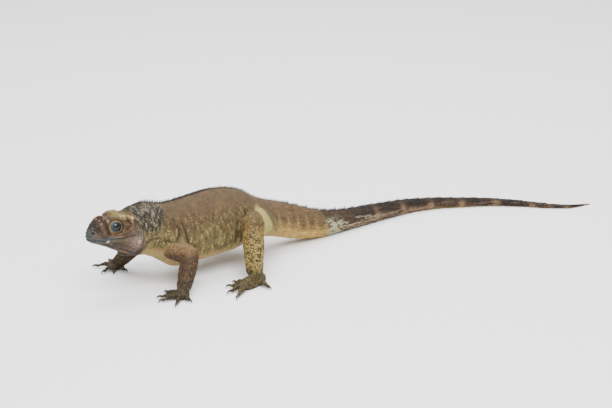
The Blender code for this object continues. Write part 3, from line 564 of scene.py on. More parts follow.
def relax(mesh, rounds, factor, weights=None):
    """Moves each point towards the mean of its neighbours."""
    points = read_points(mesh)
    edges = np.empty(len(mesh.edges) * 2, np.int32)
    mesh.edges.foreach_get("vertices", edges)
    a, b = edges.reshape(-1, 2).T
    count = np.bincount(a, minlength=len(points)) + np.bincount(b, minlength=len(points))
    pull = factor if weights is None else factor * weights[:, None]
    for _ in range(rounds):
        mean = np.empty_like(points)
        for k in range(3):
            mean[:, k] = np.bincount(a, points[b, k], len(points)) + np.bincount(b, points[a, k], len(points))
        points += pull * (mean / count[:, None] - points)
    write_points(mesh, points)


def snap(mesh, tree, limit, weights):
    """Moves points onto the smooth shells they came from, where those are near."""
    points = read_points(mesh)
    for i in np.flatnonzero(weights > 0.01):
        place, _, _, _ = tree.find_nearest(points[i], limit)
        if place is not None:
            points[i] += (np.array(place) - points[i]) * weights[i]
    write_points(mesh, points)


def refine(mesh, chosen):
    """Splits every face whose middle the test chooses into four."""
    shape = bmesh.new()
    shape.from_mesh(mesh)
    middles = np.array([tuple(f.calc_center_median()) for f in shape.faces])
    keep = chosen(middles)
    edges = set()
    for face, wanted in zip(shape.faces, keep):
        if wanted:
            edges.update(face.edges)
    bmesh.ops.subdivide_edges(shape, edges=sorted(edges, key=lambda e: e.index), cuts=1, use_grid_fill=True)
    shape.to_mesh(mesh)
    shape.free()
    mesh.update()


# Limbs

def here(point):
    """A place in the body's own frame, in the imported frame."""
    return np.array(point, float) - ORIGIN


def toe_run(centre, tip, reach, height, claw_length, radii):
    """Path and radii of a toe arched from its root to the floor, and the path of its claw."""
    root, tip = (centre + unit((tip - centre) * FLAT) * reach) * FLAT, tip * FLAT
    length = np.linalg.norm(tip - root)
    ahead = (tip - root) / length
    flesh = length - claw_length * 0.8
    path = []
    for share in np.arange(len(radii)) / (len(radii) - 1):
        lift = (1 - share) * height + share * radii[-1] * 0.95 + TOE_ARCH * math.sin(math.pi * share)
        path.append(root + ahead * flesh * share + UP * lift)
    start = path[-1] + UP * 0.0010
    claw = [start - ahead * 0.0030, start + ahead * claw_length * 0.30 + UP * 0.0006,
            start + ahead * claw_length * 0.66 - UP * start[2] * 0.20, tip + UP * 0.0004]
    return {"path": np.array(path), "radii": np.array(radii), "claw": np.array(claw), "ahead": ahead}


def hand_runs(arm):
    palm, wrist = here(arm["palm"]), here(arm["end"])
    tips = [here((*claw, 0.0)) for claw in arm["claws"]]
    toes = [toe_run(palm, tip, 0.0070, 0.0060, HAND_CLAWS[i in MIDDLE_TOES], HAND_TOE_RADII)
            for i, tip in enumerate(tips)]
    ahead = unit((tips[2] - palm) * FLAT)
    pad = (palm + UP * 0.0004, (0.0115, 0.0118, 0.0068), (ahead, np.cross(UP, ahead), UP))
    wrist_run = fleshy(wrist + UP * 0.0015, palm + UP * 0.0010, (0.0084, 0.0080, 0.0074))
    return toes, [wrist_run], [pad]


def foot_runs(leg):
    heel, ball, ankle = here(leg["heel"]), here(leg["ball"]), here(leg["end"])
    toes = []
    for i, claw in enumerate(leg["claws"]):
        centre, reach = (ball, 0.0060) if i < 4 else (heel + (ball - heel) * 0.18, 0.0030)
        toes.append(toe_run(centre, here((*claw, 0.0)), reach, 0.0064, FOOT_CLAWS[i in MIDDLE_TOES],
                            FOOT_TOE_RADII))
    sole = fleshy(heel, ball, (0.0088, 0.0090, 0.0098, 0.0098))
    below = heel + (ball - heel) * 0.2 + UP * 0.0010
    return toes, [sole, fleshy(ankle + UP * 0.0010, below, (0.0108, 0.0102, 0.0090))], []


def limb_plan():
    """Every limb as lengths of flesh, toes and pads."""
    plan = []
    for kind, limbs, radii, tips in (("arm", ARMS, ARM_RADII, hand_runs),
                                     ("leg", LEGS, LEG_RADII, foot_runs)):
        for limb in limbs.values():
            root, bend, end = here(limb["root"]), here(limb["bend"]), here(limb["end"])
            toes, runs, pads = tips(limb)
            flesh = [fleshy(root, bend, radii["upper"]), fleshy(bend, end, radii["lower"])]
            plan.append({"kind": kind, "flesh": flesh, "runs": runs, "pads": pads, "toes": toes})
    return plan


PLAN = limb_plan()


# The skin

# Creases seen from the side: places as x and height, half width, depth, and whether both sides have it
NECK_CREASES = [
    ([(-0.1496, 0.0930), (-0.1490, 0.0755), (-0.1505, 0.0540)], 0.0011, 0.0015, True),
    ([(-0.1471, 0.0615), (-0.1369, 0.0759), (-0.1204, 0.0848)], 0.0014, 0.0011, True),
    ([(-0.1440, 0.0700), (-0.1321, 0.0740), (-0.1230, 0.0730)], 0.0012, 0.0009, True),
    ([(-0.1380, 0.1010), (-0.1345, 0.0880), (-0.1370, 0.0790)], 0.0013, 0.0009, True),
    ([(-0.1255, 0.1030), (-0.1215, 0.0940), (-0.1235, 0.0850)], 0.0014, 0.0008, True),
]
BODY_CREASES = [
    ([(-0.1157, 0.0665), (-0.1060, 0.0660), (-0.0977, 0.0640), (-0.0830, 0.0570)], 0.0016, 0.0016, True),
    ([(-0.0992, 0.0930), (-0.0955, 0.0800), (-0.0964, 0.0716), (-0.1032, 0.0650)], 0.0018, 0.0012, True),
    ([(-0.0880, 0.0860), (-0.0850, 0.0740), (-0.0840, 0.0600)], 0.0020, 0.0008, True),
    ([(0.0200, 0.0800), (0.0088, 0.0680), (0.0051, 0.0439)], 0.0020, 0.0018, False),
    ([(0.0010, 0.0720), (-0.0040, 0.0600), (-0.0050, 0.0440)], 0.0024, 0.0009, False),
]
# Loose folds that stand proud: places, half width and height
PLEATS = [
    ([(0.0398, 0.0800), (0.0562, 0.0690), (0.0686, 0.0540), (0.0768, 0.0380)], 0.0032, 0.0022),
    ([(-0.1500, 0.0500), (-0.1520, 0.0560), (-0.1560, 0.0570)], 0.0022, 0.0010),
]
# Forms over the head's rings: the rail of the brow as forward, side, up and radius, and three mounds as
# place and half sizes
BROW = [
    (0.0460, 0.0104, 0.0212, 0.0012), (0.0430, 0.0110, 0.0220, 0.0028), (0.0375, 0.0124, 0.0236, 0.0042),
    (0.0300, 0.0138, 0.0246, 0.0047), (0.0220, 0.0152, 0.0242, 0.0045), (0.0150, 0.0168, 0.0226, 0.0038),
    (0.0080, 0.0178, 0.0200, 0.0016),
]
JOWL_AT, JOWL_SIZE = (0.0155, 0.0140, -0.0100), (0.0180, 0.0112, 0.0150)
TEMPLE_AT, TEMPLE_SIZE = (0.0130, 0.0165, 0.0150), (0.0110, 0.0050, 0.0070)
THROAT_AT, THROAT_SIZE = (0.0045, 0.0, -0.0258), (0.0200, 0.0108, 0.0074)
FINE_RINGS_END = 0.080


def path_gap(points, path):
    """Distance of each point, in two dimensions, from a path."""
    best = np.full(len(points), 1e9)
    for a, b in zip(path[:-1], path[1:]):
        a, b = np.array(a), np.array(b)
        t = np.clip(((points - a) @ (b - a)) / ((b - a) @ (b - a)), 0, 1)
        best = np.minimum(best, np.linalg.norm(points - a - t[:, None] * (b - a), axis=1))
    return best


def skin_shells(sizes):
    """The body, head forms and limbs as closed shells, inside the solids by the coat's depth."""
    depth = sizes.coat_depth
    shells = Shells()
    fine, plain = np.arange(0, FINE_RINGS_END, 0.0010), np.arange(FINE_RINGS_END, LINE.length, 0.0016)
    stops = np.unique(np.concatenate([fine, plain, [LINE.length]]))
    turns = turns_round(72) + SEAM_TURN
    all_stops = np.repeat(stops, len(turns))
    grow = LINE.swell(all_stops) - depth
    rings = LINE.section(all_stops, np.tile(turns, len(stops)), grow).reshape(len(stops), len(turns), 3)
    shells.loft(rings[:, ::-1])
    for sign in SIDES:
        rail = [head_point(forward, side * sign, up) for forward, side, up, _ in BROW]
        path, radii = resample(rail, [row[3] for row in BROW], 0.0012)
        shells.tube(path, radii - depth * 0.5, 20)
        axes = (unit(AHEAD * 0.987 - LEFT * sign * 0.16), unit(LEFT * sign * 0.987 + AHEAD * 0.16), OVER)
        for (forward, side, up), radii in ((JOWL_AT, np.array(JOWL_SIZE) - depth), (TEMPLE_AT, TEMPLE_SIZE)):
            shells.blob(head_point(forward, side * sign, up), radii, axes)
    shells.blob(head_point(*THROAT_AT), np.array(THROAT_SIZE) - depth, (AHEAD, LEFT, OVER))
    for limb in PLAN:
        for path, radii in [*limb["flesh"], *limb["runs"]]:
            path, radii = resample(path, radii, 0.0015)
            shells.tube(path, np.maximum(radii - depth, 0.0006), 28)
        for centre, radii, axes in limb["pads"]:
            shells.blob(centre, np.array(radii) - depth, axes)
        for toe in limb["toes"]:
            share, knots = np.linspace(0, 1, 12), np.linspace(0, 1, len(toe["path"]))
            path = smooth_columns(knots, toe["path"], share)
            radii = np.interp(share, knots, toe["radii"]) - depth * 0.6
            radii = radii * (1 + 0.07 * np.cos(share * 4 * np.pi))
            shells.tube(np.vstack([path, path[-1] + toe["ahead"] * radii[-1] * 0.5]),
                        np.append(radii, radii[-1] * 0.62), 16)
    return shells


def voxel_skin(shells, sizes):
    """One closed skin over all the shells."""
    mesh = shells.mesh("shells")
    obj = link("shells", mesh)
    wrap = obj.modifiers.new("wrap", "REMESH")
    wrap.mode = "VOXEL"
    wrap.voxel_size = sizes.skin_grid
    graph = bpy.context.evaluated_depsgraph_get()
    skin = bpy.data.meshes.new_from_object(obj.evaluated_get(graph))
    tree = BVHTree.FromPolygons([v.co.copy() for v in mesh.vertices],
                                [tuple(p.vertices) for p in mesh.polygons])
    bpy.data.objects.remove(obj)
    points, faces = read_points(skin), [tuple(p.vertices) for p in skin.polygons]
    bpy.data.meshes.remove(skin)
    whole = Shells()
    whole.add(points, faces)
    whole.loft(tail_tip(sizes))
    return whole.mesh("skin"), tree


def tail_tip(sizes):
    """Rings of the last of the tail, which is finer than the skin's grid."""
    count, sides = 70, 20
    turns = turns_round(sides) + SEAM_TURN
    stops = np.linspace(LINE.distance(TIP_START_X), LINE.length, count)
    inside = sizes.coat_depth * np.interp(np.arange(count), (0, 12), (2.2, 0.9))
    rings = LINE.section(np.repeat(stops, sides), np.tile(turns, count), -np.repeat(inside, sides))
    return rings.reshape(count, sides, 3)[:, ::-1]


def head_test(middles):
    forward, _, up = head_coords(middles)
    return (forward > -0.006) & (up > -0.040)


def face_test(middles):
    """Where the head's finest forms lie: eyes, mouth, snout and ears."""
    forward, side, up = head_coords(middles)
    wanted = (np.abs(up - mouth_height(forward)) < 0.0048) & (forward > 0.024)
    wanted |= forward > 0.0600
    wanted |= (ear_gap(forward, up) < 0.0085) & (np.abs(side) > 0.012)
    for sign in SIDES:
        centre, look, _, _ = eye_axes(sign)
        offset = middles - centre
        depth = offset @ look
        wanted |= (np.linalg.norm(offset - depth[:, None] * look, axis=1) < 0.0118) & (depth > -0.001)
    return wanted & (up > -0.03)


def shape_lids(points, radius):
    """Opens each eye and raises its lids, their rims and the folds round them."""
    for sign in SIDES:
        centre, look, fore, over = eye_axes(sign)
        ahead, above, out, ring = eye_coords(points, sign)
        near = (ring < 2.0) & (out > -0.0005)
        ring = ring[near]
        from_edge = np.abs(ring - 1)
        crowd = np.where(from_edge < 0.16, 1 + (ring - 1) * from_edge / 0.16, ring)
        pull = crowd / np.maximum(ring, 1e-6)
        ahead, above = ahead[near] * pull, above[near] * pull
        reach = np.hypot(ahead, above)
        ball = np.sqrt(np.maximum(radius**2 - np.minimum(reach, radius * 0.93) ** 2, 0))
        ball -= np.maximum(reach - radius * 0.93, 0) * 1.25
        rim = 0.0010 * bell(crowd - 1.10, 0.13) + 0.0003
        folds = -0.00045 * bell(crowd - 1.36, 0.06) - 0.0004 * bell(crowd - 1.62, 0.06)
        lower = rise(-0.1, 0.5, -above / np.maximum(reach, 1e-6))
        folds -= 0.0004 * bell(crowd - 1.80, 0.06) * lower
        sunk = rise(1.0, 0.90, crowd)
        lid = ball + rim + folds + 0.0004
        lid = lid * (1 - sunk) + (ball - 0.0016) * sunk
        keep = rise(1.30, 1.95, crowd)
        lift = lid * (1 - keep) + (out[near] + folds * 0.7) * keep
        points[near] = centre + fore * ahead[:, None] + over * above[:, None] + look * lift[:, None]


def shape_face(points, normals):
    """Line of the mouth, lips, nostrils, ear drums and the hollows of the face."""
    forward, side, up = head_coords(points)
    push = np.zeros(len(points))
    line = up - mouth_height(forward)
    along = rise(0.0275, 0.0330, forward)
    push -= 0.0011 * bell(line, 0.00042) * along
    push += 0.00055 * bell(line - 0.0019, 0.0013) * along + 0.00045 * bell(line + 0.0018, 0.0012) * along
    for sign in SIDES:
        gap = nostril_gap(points, sign)
        push += 0.0005 * bell(gap - 0.0025, 0.0008) - 0.0021 * np.exp(-((gap / 0.00155) ** 4))
        ear = ear_gap(forward, up, EAR_OVAL) + (side * sign < 0.010) * 1.0
        push += -0.0013 * rise(0.0044, 0.0030, ear) + 0.0004 * bell(ear - 0.0052, 0.0008)
        lore = np.hypot((forward - 0.0505 - (up - 0.014) * 0.25) / 0.0042, (up - 0.0135) / 0.0085)
        push -= 0.0009 * bell(lore, 0.8) * (side * sign > 0.004)
    push -= 0.0008 * bell(np.hypot((forward - 0.034) / 0.012, side / 0.006), 1.0) * (up > 0.018)
    points += normals * push[:, None]


def shape_folds(points, normals, out):
    """Creases, loose folds and soft waves of the neck, shoulders, flanks and groin."""
    body = points + ORIGIN
    flat = body[:, (0, 2)]
    flank = rise(0.25, 0.6, np.abs(normals[:, 1]))
    push = np.zeros(len(points))
    for path, width, depth, both in NECK_CREASES + BODY_CREASES:
        gap = path_gap(flat, path)
        crease = -depth * bell(gap, width) + depth * 0.40 * bell(gap - width * 2.3, width * 1.3)
        push += flank * ((body[:, 1] < 0.0) | both) * crease
    for path, width, depth in PLEATS:
        push += flank * depth * bell(path_gap(flat, path), width)
    hip = bell(thigh_rear(body), 0.0018) * rise(1.05, 1.20, out) * rise(0.046, 0.056, body[:, 2])
    push -= 0.0014 * hip * (body[:, 0] > 0.0)
    trunk = rise(-0.100, -0.080, body[:, 0]) * rise(0.050, 0.020, body[:, 0]) * rise(1.25, 1.05, out)
    wave = np.sin(body[:, 0] / 0.0062 + 1.5 * np.sin(body[:, 2] / 0.022)) * rise(0.100, 0.070, body[:, 2])
    push += 0.00050 * wave * trunk * flank
    neck = bell(body[:, 0] + 0.128, 0.014) * flank
    push += 0.00035 * neck * np.sin(body[:, 0] / 0.0016 + body[:, 2] / 0.006)
    tail = rise(0.105, 0.13, body[:, 0])
    push += 0.00022 * lumps(body, 0.006, 3) * (1 - tail) + 0.0001 * lumps(body, 0.0022, 4)
    points += normals * push[:, None]


def make_skin(sizes, colours):
    mesh, shells = voxel_skin(skin_shells(sizes), sizes)
    relax(mesh, 5, 0.5)
    snap(mesh, shells, 0.0006, np.ones(len(mesh.vertices)))
    relax(mesh, 1, 0.4)
    for test in (head_test, face_test):
        refine(mesh, test)
        points = read_points(mesh)
        weights = test(points).astype(float)
        relax(mesh, 3, 0.5, weights)
        snap(mesh, shells, 0.0010, weights * 0.9)
        relax(mesh, 2, 0.4, weights)
    points, normals = read_points(mesh), read_normals(mesh)
    _, _, out = LINE.coords(points)
    shape_folds(points, normals, out)
    write_points(mesh, points)
    points, normals = read_points(mesh), read_normals(mesh)
    shape_face(points, normals)
    shape_lids(points, sizes.eye_radius)
    points[:, 2] = np.maximum(points[:, 2], SKIN_FLOOR)
    write_points(mesh, points)
    # Painted shade: the skin is darker where it shows between scales, but not at the openings and lids
    shade = np.where(openings(points) | lids(points), 1.0, SHADE_BETWEEN_SCALES)
    paint(mesh, markings(points, colours) * shade[:, None])
    skin = link("skin", mesh, skin_material("iguana_skin"))
    unwrap(skin)
    MADE["skin"] = SkinSurface(mesh)
    return skin


def unwrap(obj):
    """A map of the skin by its own shape, named for the baked colours."""
    bpy.ops.object.select_all(action="DESELECT")
    bpy.context.view_layer.objects.active = obj
    obj.select_set(True)
    bpy.ops.object.mode_set(mode="EDIT")
    bpy.ops.mesh.select_all(action="SELECT")
    bpy.ops.uv.smart_project(angle_limit=math.radians(72), island_margin=0.002)
    bpy.ops.object.mode_set(mode="OBJECT")
    obj.data.uv_layers[0].name = "OFBake"


class SkinSurface:
    """The finished skin, for rooting scales on it."""

    def __init__(self, mesh):
        self.points = read_points(mesh)
        self.normals = read_normals(mesh)
        self.faces = [tuple(p.vertices) for p in mesh.polygons]
        self.tree = BVHTree.FromPolygons(self.points.tolist(), self.faces)
        self.middles = np.array([tuple(p.center) for p in mesh.polygons])
        spread = np.empty(len(mesh.loops) * 2, np.float32)
        mesh.uv_layers["OFBake"].data.foreach_get("uv", spread)
        starts = np.array([p.loop_start for p in mesh.polygons])
        totals = np.array([p.loop_total for p in mesh.polygons])
        sums = np.add.reduceat(spread.reshape(-1, 2), starts, axis=0)
        self.map = sums / totals[:, None]

    def normal(self, face):
        return unit(self.normals[list(self.faces[face])].mean(0))

    def hit(self, origin, direction, reach):
        """Place, smooth normal and face where a ray first meets the skin from outside."""
        direction = Vector(direction)
        place, facing, face, _ = self.tree.ray_cast(Vector(origin), direction, reach)
        if place is None or np.dot(facing, direction) > -0.1:
            return None
        return np.array(place), self.normal(face), face


# Markings

class Tones:
    """Colours of many points, laid one over another."""

    def __init__(self, base, count):
        self.rows = np.tile(np.array(base[:3]), (count, 1))

    def lay(self, over, amount):
        """Mixes in a colour, or other tones, by an amount from 0 to 1 at each point."""
        over = over.rows if isinstance(over, Tones) else np.array(over[:3])
        self.rows = self.rows + (over - self.rows) * np.clip(amount, 0, 1)[:, None]


# Noises as size of the lumps and seed: broad and fine ones of the body, grain of the skin, stripes of the
# flanks, streaks of the neck, net of the legs, and two of the head
BROAD, FINE, GRAIN = (0.014, 11), (0.0045, 12), (0.0020, 13)
STRIPES, STREAKS, NET = (0.0021, 15), (0.0013, 23), (0.0028, 19)
HEAD_BROAD, SNOUT_SPOTS = (0.0075, 21), (0.0048, 22)
DASH_SIZE = 0.0029
NAPE_EDGE_X = (-0.160, -0.156, -0.150, -0.1422, -0.1334, -0.1168, -0.1040, -0.0990)
NAPE_EDGE_Z = (0.100, 0.0915, 0.0860, 0.0835, 0.0790, 0.0890, 0.1080, 0.1250)
TAIL_BANDS_X = (0.220, 0.249, 0.289, 0.344, 0.395, 0.440, 0.484, 0.521, 0.556, 0.590)


def markings(points, colours, grain=None):
    """Colour of the animal at each point. Grain is a random number for each scale."""
    c, body = colours, points + ORIGIN
    x, y, z = body.T
    distances, turn, out = LINE.coords(points)
    row = LINE.at(distances)
    share = (z - row[:, 3]) / (row[:, 2] - row[:, 3])
    wide, fine = lumps(body, *BROAD), lumps(body, *FINE)
    if grain is None:
        grain = 0.5 + 0.5 * lumps(body, *GRAIN)
    other = (grain * 7.31) % 1.0
    beside_head = rise(-0.140, -0.146, x) * rise(0.045, 0.055, z)
    limb = rise(1.06, 1.25, out) * rise(0.108, 0.098, x) * (1 - beside_head)

    # Trunk
    stripe = lumps(body * (1, 0.36, 0.36), *STRIPES)
    colour = Tones(c.flank, len(points))
    colour.lay(c.back, rise(0.46, 0.76, share + 0.08 * wide))
    colour.lay(c.arm, rise(0.0, 0.8, wide) * 0.22)
    low = rise(0.92, 0.52, share)
    colour.lay(c.snout_dark, rise(-0.05, -0.70, stripe) * (0.14 + 0.34 * low))
    colour.lay(c.speckle, rise(0.05, 0.50, stripe) * rise(0.25, 0.80, grain) * (0.07 + 0.70 * low))
    bars = rise(0.0, 0.9, np.sin(x / 0.0042 + 0.8 * wide)) * rise(0.92, 0.6, share)
    colour.lay(c.snout_dark, bars * 0.16)
    colour.lay(c.belly, rise(0.27, 0.10, share + 0.04 * fine) * 0.85)
    throat = rise(-0.070, -0.105, x) * rise(0.062, 0.045, z)
    colour.lay(c.belly, throat * 0.35)
    crown_line = bell((turn - np.pi / 2) * 0.03, 0.0016) * rise(0.6, 0.9, share)
    colour.lay(c.snout_dark, crown_line * 0.55)

    # Neck
    low_edge = np.interp(x, NAPE_EDGE_X, NAPE_EDGE_Z)
    nape = rise(0.0, 0.005, z - low_edge + 0.002 * fine) * rise(-0.162, -0.157, x)
    colour.lay(c.neck, nape * 0.92)
    ridge = nape * rise(0.106, 0.116, z) * rise(-0.146, -0.136, x)
    colour.lay(c.back, nape * rise(-0.112, -0.104, x) * 0.5 + ridge * 0.30)
    slant = (x + 0.128) * (z - 0.100) * 15
    streak = lumps(np.column_stack([x - slant, y * 0.3, z * 0.3]), *STREAKS)
    side_share = np.maximum(rise(0.118, 0.104, z), rise(-0.136, -0.146, x))
    streak_share = nape * rise(-0.102, -0.112, x) * (0.60 + 0.40 * side_share)
    colour.lay(c.neck_dot, streak_share * rise(0.00, 0.45, streak) * (0.45 + 0.55 * grain))
    colour.lay(c.dot, np.sqrt(streak_share) * rise(-0.05, -0.50, streak) * 0.80)
    flat = body[:, (0, 2)]
    for path, width, _, _ in NECK_CREASES:
        gap = path_gap(flat, path)
        colour.lay(c.fold, bell(gap - width * 1.8, 0.0014) * 0.50 * (1 - nape * 0.8))
        # Painted shade along the bottom of each crease
        colour.lay(c.dot, bell(gap, width * 0.9) * 0.70)
    # Painted shade along the bottom of the body's creases
    for path, width, _, both in BODY_CREASES:
        colour.lay(c.dot, bell(path_gap(flat, path), width) * 0.72 * ((y < 0) | both))

    # Tail
    tail = rise(0.070, 0.100, x)
    base = Tones(c.tail_top, len(points))
    base.lay(c.tail_under, rise(0.62, 0.16, share + 0.06 * wide))
    beat = ((distances - LINE.whorls) / WHORL_STEP + 0.06 * wide) % 1.0
    base.lay(c.dot, bell(beat - 0.5, 0.24) * bell(share - 0.50, 0.22) * 0.30)
    base.lay(c.tail_under, (bell(beat, 0.09) + bell(beat - 1, 0.09)) * 0.38
             * rise(0.85, 0.55, share) * rise(0.10, 0.25, share))
    base.lay(c.snout_dark, rise(0.70, 0.95, grain) * 0.35)
    dash, fleck, rows = (
        lumps(np.column_stack([distances * along, turn * round_it, turn * 0.0]), DASH_SIZE, seed)
        for along, round_it, seed in ((0.17, 0.0115, 17), (0.75, 0.0210, 18), (0.19, 0.0310, 24)))
    rows = 0.75 * rows + 0.34 * np.sin(turn * 19)
    not_belly = rise(0.06, 0.16, share)
    base.lay(c.snout_dark, rise(0.15, 0.7, dash) * 0.30 * rise(0.1, 0.4, share))
    dark = rise(0.183, 0.190, x + 0.008 * (share - 0.5))
    lower = rise(0.64, 0.40, share + 0.10 * dash)
    end = Tones(c.tail_dark, len(points))
    end.lay(c.tail_band, lower * 0.60 * rise(0.46, 0.36, x))
    end.lay(c.tail_top, rise(0.28, 0.21, x) * 0.45)
    band = np.max([bell(distances - LINE.distance(at) + 0.0025 * dash, 0.0050) for at in TAIL_BANDS_X],
                  axis=0)
    band = band * rise(0.252, 0.300, x) * (0.92 - 0.40 * rise(0.6, 1, share))
    end.lay(c.tail_band, rise(0.20, 0.60, dash) * 0.30)
    end.lay(c.tail_green, rise(0.00, 0.26, rows) * rise(0.82, 0.58, share) * rise(0.360, 0.240, x) * 0.52)
    end.lay(c.dot, rise(0.00, 0.22, -dash) * 0.85 * not_belly * rise(0.270, 0.340, x))
    end.lay(c.dot, rise(0.06, 0.28, -rows) * 0.80 * not_belly * rise(0.420, 0.300, x))
    end.lay(c.tail_band, band * (0.85 - 0.35 * rise(0.1, 0.5, -dash)))
    green = rise(0.222, 0.208, x) * rise(0.92, 0.64, share + 0.14 * fleck)
    end.lay(c.tail_green, green * (0.84 - 0.80 * rise(-0.08, 0.18, -fleck) * rise(0.08, 0.22, share)))
    end.lay(c.dot, rise(0.58, 0.90, share) * (0.45 + 0.30 * rise(0.28, 0.36, x)))
    end.lay(c.tail_under, rise(0.575, 0.597, x) * 0.5 + rise(0.30, 0.12, share) * rise(0.36, 0.42, x) * 0.45)
    base.lay(end, dark)
    colour.lay(base, tail)

    # Limbs
    arm = limb * (x < ARMS_END_X)
    behind = thigh_rear(body) + 0.0008 * fine
    past = behind - 0.0140 - 0.60 * (0.0770 - z)
    leg = limb * (x >= ARMS_END_X) * rise(0.0040, -0.0010, past)
    shade = Tones(c.arm, len(points))
    shade.lay(c.snout_dark, 0.62 * rise(0.060, 0.044, z) + 0.16 * rise(0.2, 0.9, np.sin(z / 0.0011)))
    shade.lay(c.belly, rise(0.046, 0.066, z) * 0.36)
    shade.lay(c.dot, rise(0.48, 0.62, grain) * 0.46 + 0.16 * rise(0, 1, fine))
    shade.lay(c.head_tan, rise(0.80, 0.95, other) * 0.45)
    shade.lay(c.foot, rise(0.030, 0.012, z) * 0.95)
    shade.lay(c.dot, bell(z - 0.0215, 0.0012) * (y < 0) * 0.75)
    shade.lay(c.speckle, rise(0.82, 0.95, other) * 0.16 * rise(0.030, 0.012, z))
    colour.lay(shade, arm)
    shade = Tones(c.leg, len(points))
    shade.lay(c.arm, rise(0.052, 0.070, z) * 0.62)
    net = 0.70 * grain + 0.30 * (0.5 + 0.5 * lumps(body, *NET))
    spots = rise(0.50, 0.57, net) * (1.0 - 0.20 * rise(0.050, 0.072, z))
    shade.lay(c.dot, spots * 0.95)
    shade.lay(c.foot, rise(0.028, 0.014, z) * 0.85)
    shade.lay(c.speckle, rise(0.80, 0.95, other) * 0.22 * rise(0.028, 0.014, z))
    # Painted shade in the groove along the rear edge of the thigh
    shade.lay(c.dot, bell(behind + 0.0012, 0.0010) * rise(0.046, 0.056, z) * 0.50)
    colour.lay(shade, leg)
    aside = np.abs(y - HIPS_Y)
    wedge = rise(-0.0006, 0.0014, behind) * rise(0.0015, -0.0030, past)
    wedge = wedge * rise(0.030, 0.036, z) * rise(0.0835, 0.0795, z)
    wedge = wedge * rise(0.95, 1.05, out) * (aside > 0.022) * rise(0.088, 0.078, aside + 0.034 * (y > 0))
    colour.lay(c.hip, wedge * (0.92 - 0.20 * grain))

    # Head
    head = rise(-0.1430, -0.1500, x) * rise(0.040, 0.048, z) * rise(1.9, 1.6, out)
    face = face_markings(points, colours, grain, fine)
    nape_keep = nape * rise(0.0125, 0.0085, head_coords(points)[0])
    colour.lay(face, head * (1 - nape_keep))
    strength = 1 + 0.12 * fine + 0.06 * wide + 0.46 * (other - 0.5)
    return np.clip(colour.rows * strength[:, None], 0.0, 1.0)


def thigh_rear(body):
    """How far behind the rear edge of the nearer thigh each point of the body lies."""
    x, y, _ = body.T
    left, right = x - 0.0219 - 0.40 * (y + 0.0819), x - 0.0660 + 0.44 * (y - 0.0210)
    return np.where(y < HIPS_Y, left, right)


def openings(points):
    """Where no scale may stand: the eyes, nostrils, ear drums and the line of the mouth."""
    forward, side, up = head_coords(points)
    inside = (ear_gap(forward, up, EAR_OVAL) < 0.0040) & (np.abs(side) > 0.014)
    inside |= (np.abs(up - mouth_height(forward)) < 0.0007) & (forward > 0.0285) & (np.abs(side) < 0.026)
    for sign in SIDES:
        inside |= lid_ring(points, sign, 1.04)
        inside |= nostril_gap(points, sign) < 0.0019
    return inside


def lid_ring(points, sign, limit):
    """Where points lie within this ring of one eye."""
    _, _, out, ring = eye_coords(points, sign)
    return (ring < limit) & (out > -0.001)


def lids(points):
    """The bare inner edges of the eyelids."""
    return lid_ring(points, 1.0, 1.9) | lid_ring(points, -1.0, 1.9)


def nostril_gap(points, sign):
    """Distance from the middle of a nostril, shorter along its slit."""
    forward, side, up = NOSTRIL_AT
    offset = points - head_point(forward, side * sign, up)
    return np.sqrt((offset @ unit(AHEAD - LEFT * 0.9 * sign) / 1.8) ** 2 + (offset @ OVER) ** 2
                   + (offset @ unit(LEFT * sign + AHEAD * 0.9)) ** 2 * 0.3)


# Lines of the face, seen from the side: places as forward and up, colour, half width and amount
FACE_LINES = (
    ([(0.0290, 0.0200), (0.0220, 0.0180), (0.0175, 0.0150)], "head_tan", 0.0018, 0.80),
    ([(0.0154, 0.0190), (0.0154, 0.0145), (0.0186, 0.0105)], "head_tan", 0.0020, 0.95),
    ([(0.0245, 0.0240), (0.0200, 0.0205), (0.0185, 0.0185)], "snout_dark", 0.0014, 0.85),
    ([(0.0255, 0.0118), (0.0221, 0.0131), (0.0167, 0.0158)], "snout_dark", 0.0011, 0.90),
    ([(0.0322, 0.0078), (0.0249, 0.0105), (0.0200, 0.0085)], "snout_dark", 0.0011, 0.85),
    ([(0.0290, 0.0100), (0.0230, 0.0085)], "head_tan", 0.0014, 0.60),
    ([(0.0500, 0.0095), (0.0422, 0.0050), (0.0316, 0.0045), (0.0238, 0.0060)], "snout_dark", 0.0009, 0.60),
    ([(0.0460, -0.0030), (0.0318, -0.0004), (0.0209, 0.0022), (0.0130, 0.0020)], "snout_dark", 0.0010, 0.80),
    ([(0.0440, -0.0062), (0.0318, -0.0050), (0.0220, -0.0020)], "snout_dark", 0.0008, 0.55),
    ([(0.0350, -0.0085), (0.0230, -0.0120), (0.0130, -0.0170)], "snout_dark", 0.0009, 0.45),
    ([(0.0505, -0.0075), (0.0372, -0.0146), (0.0260, -0.0172), (0.0043, -0.0275)],
     "snout_dark", 0.0013, 0.90),
    ([(0.0372, -0.0172), (0.0260, -0.0200), (0.0080, -0.0300)], "head_tan", 0.0013, 0.65),
    ([(0.0372, -0.0200), (0.0260, -0.0230), (0.0100, -0.0320)], "snout_dark", 0.0015, 0.80),
)
KNOBS = ((0.0198, 0.0272), (0.0171, 0.0245), (0.0159, 0.0212), (0.0262, 0.0280))


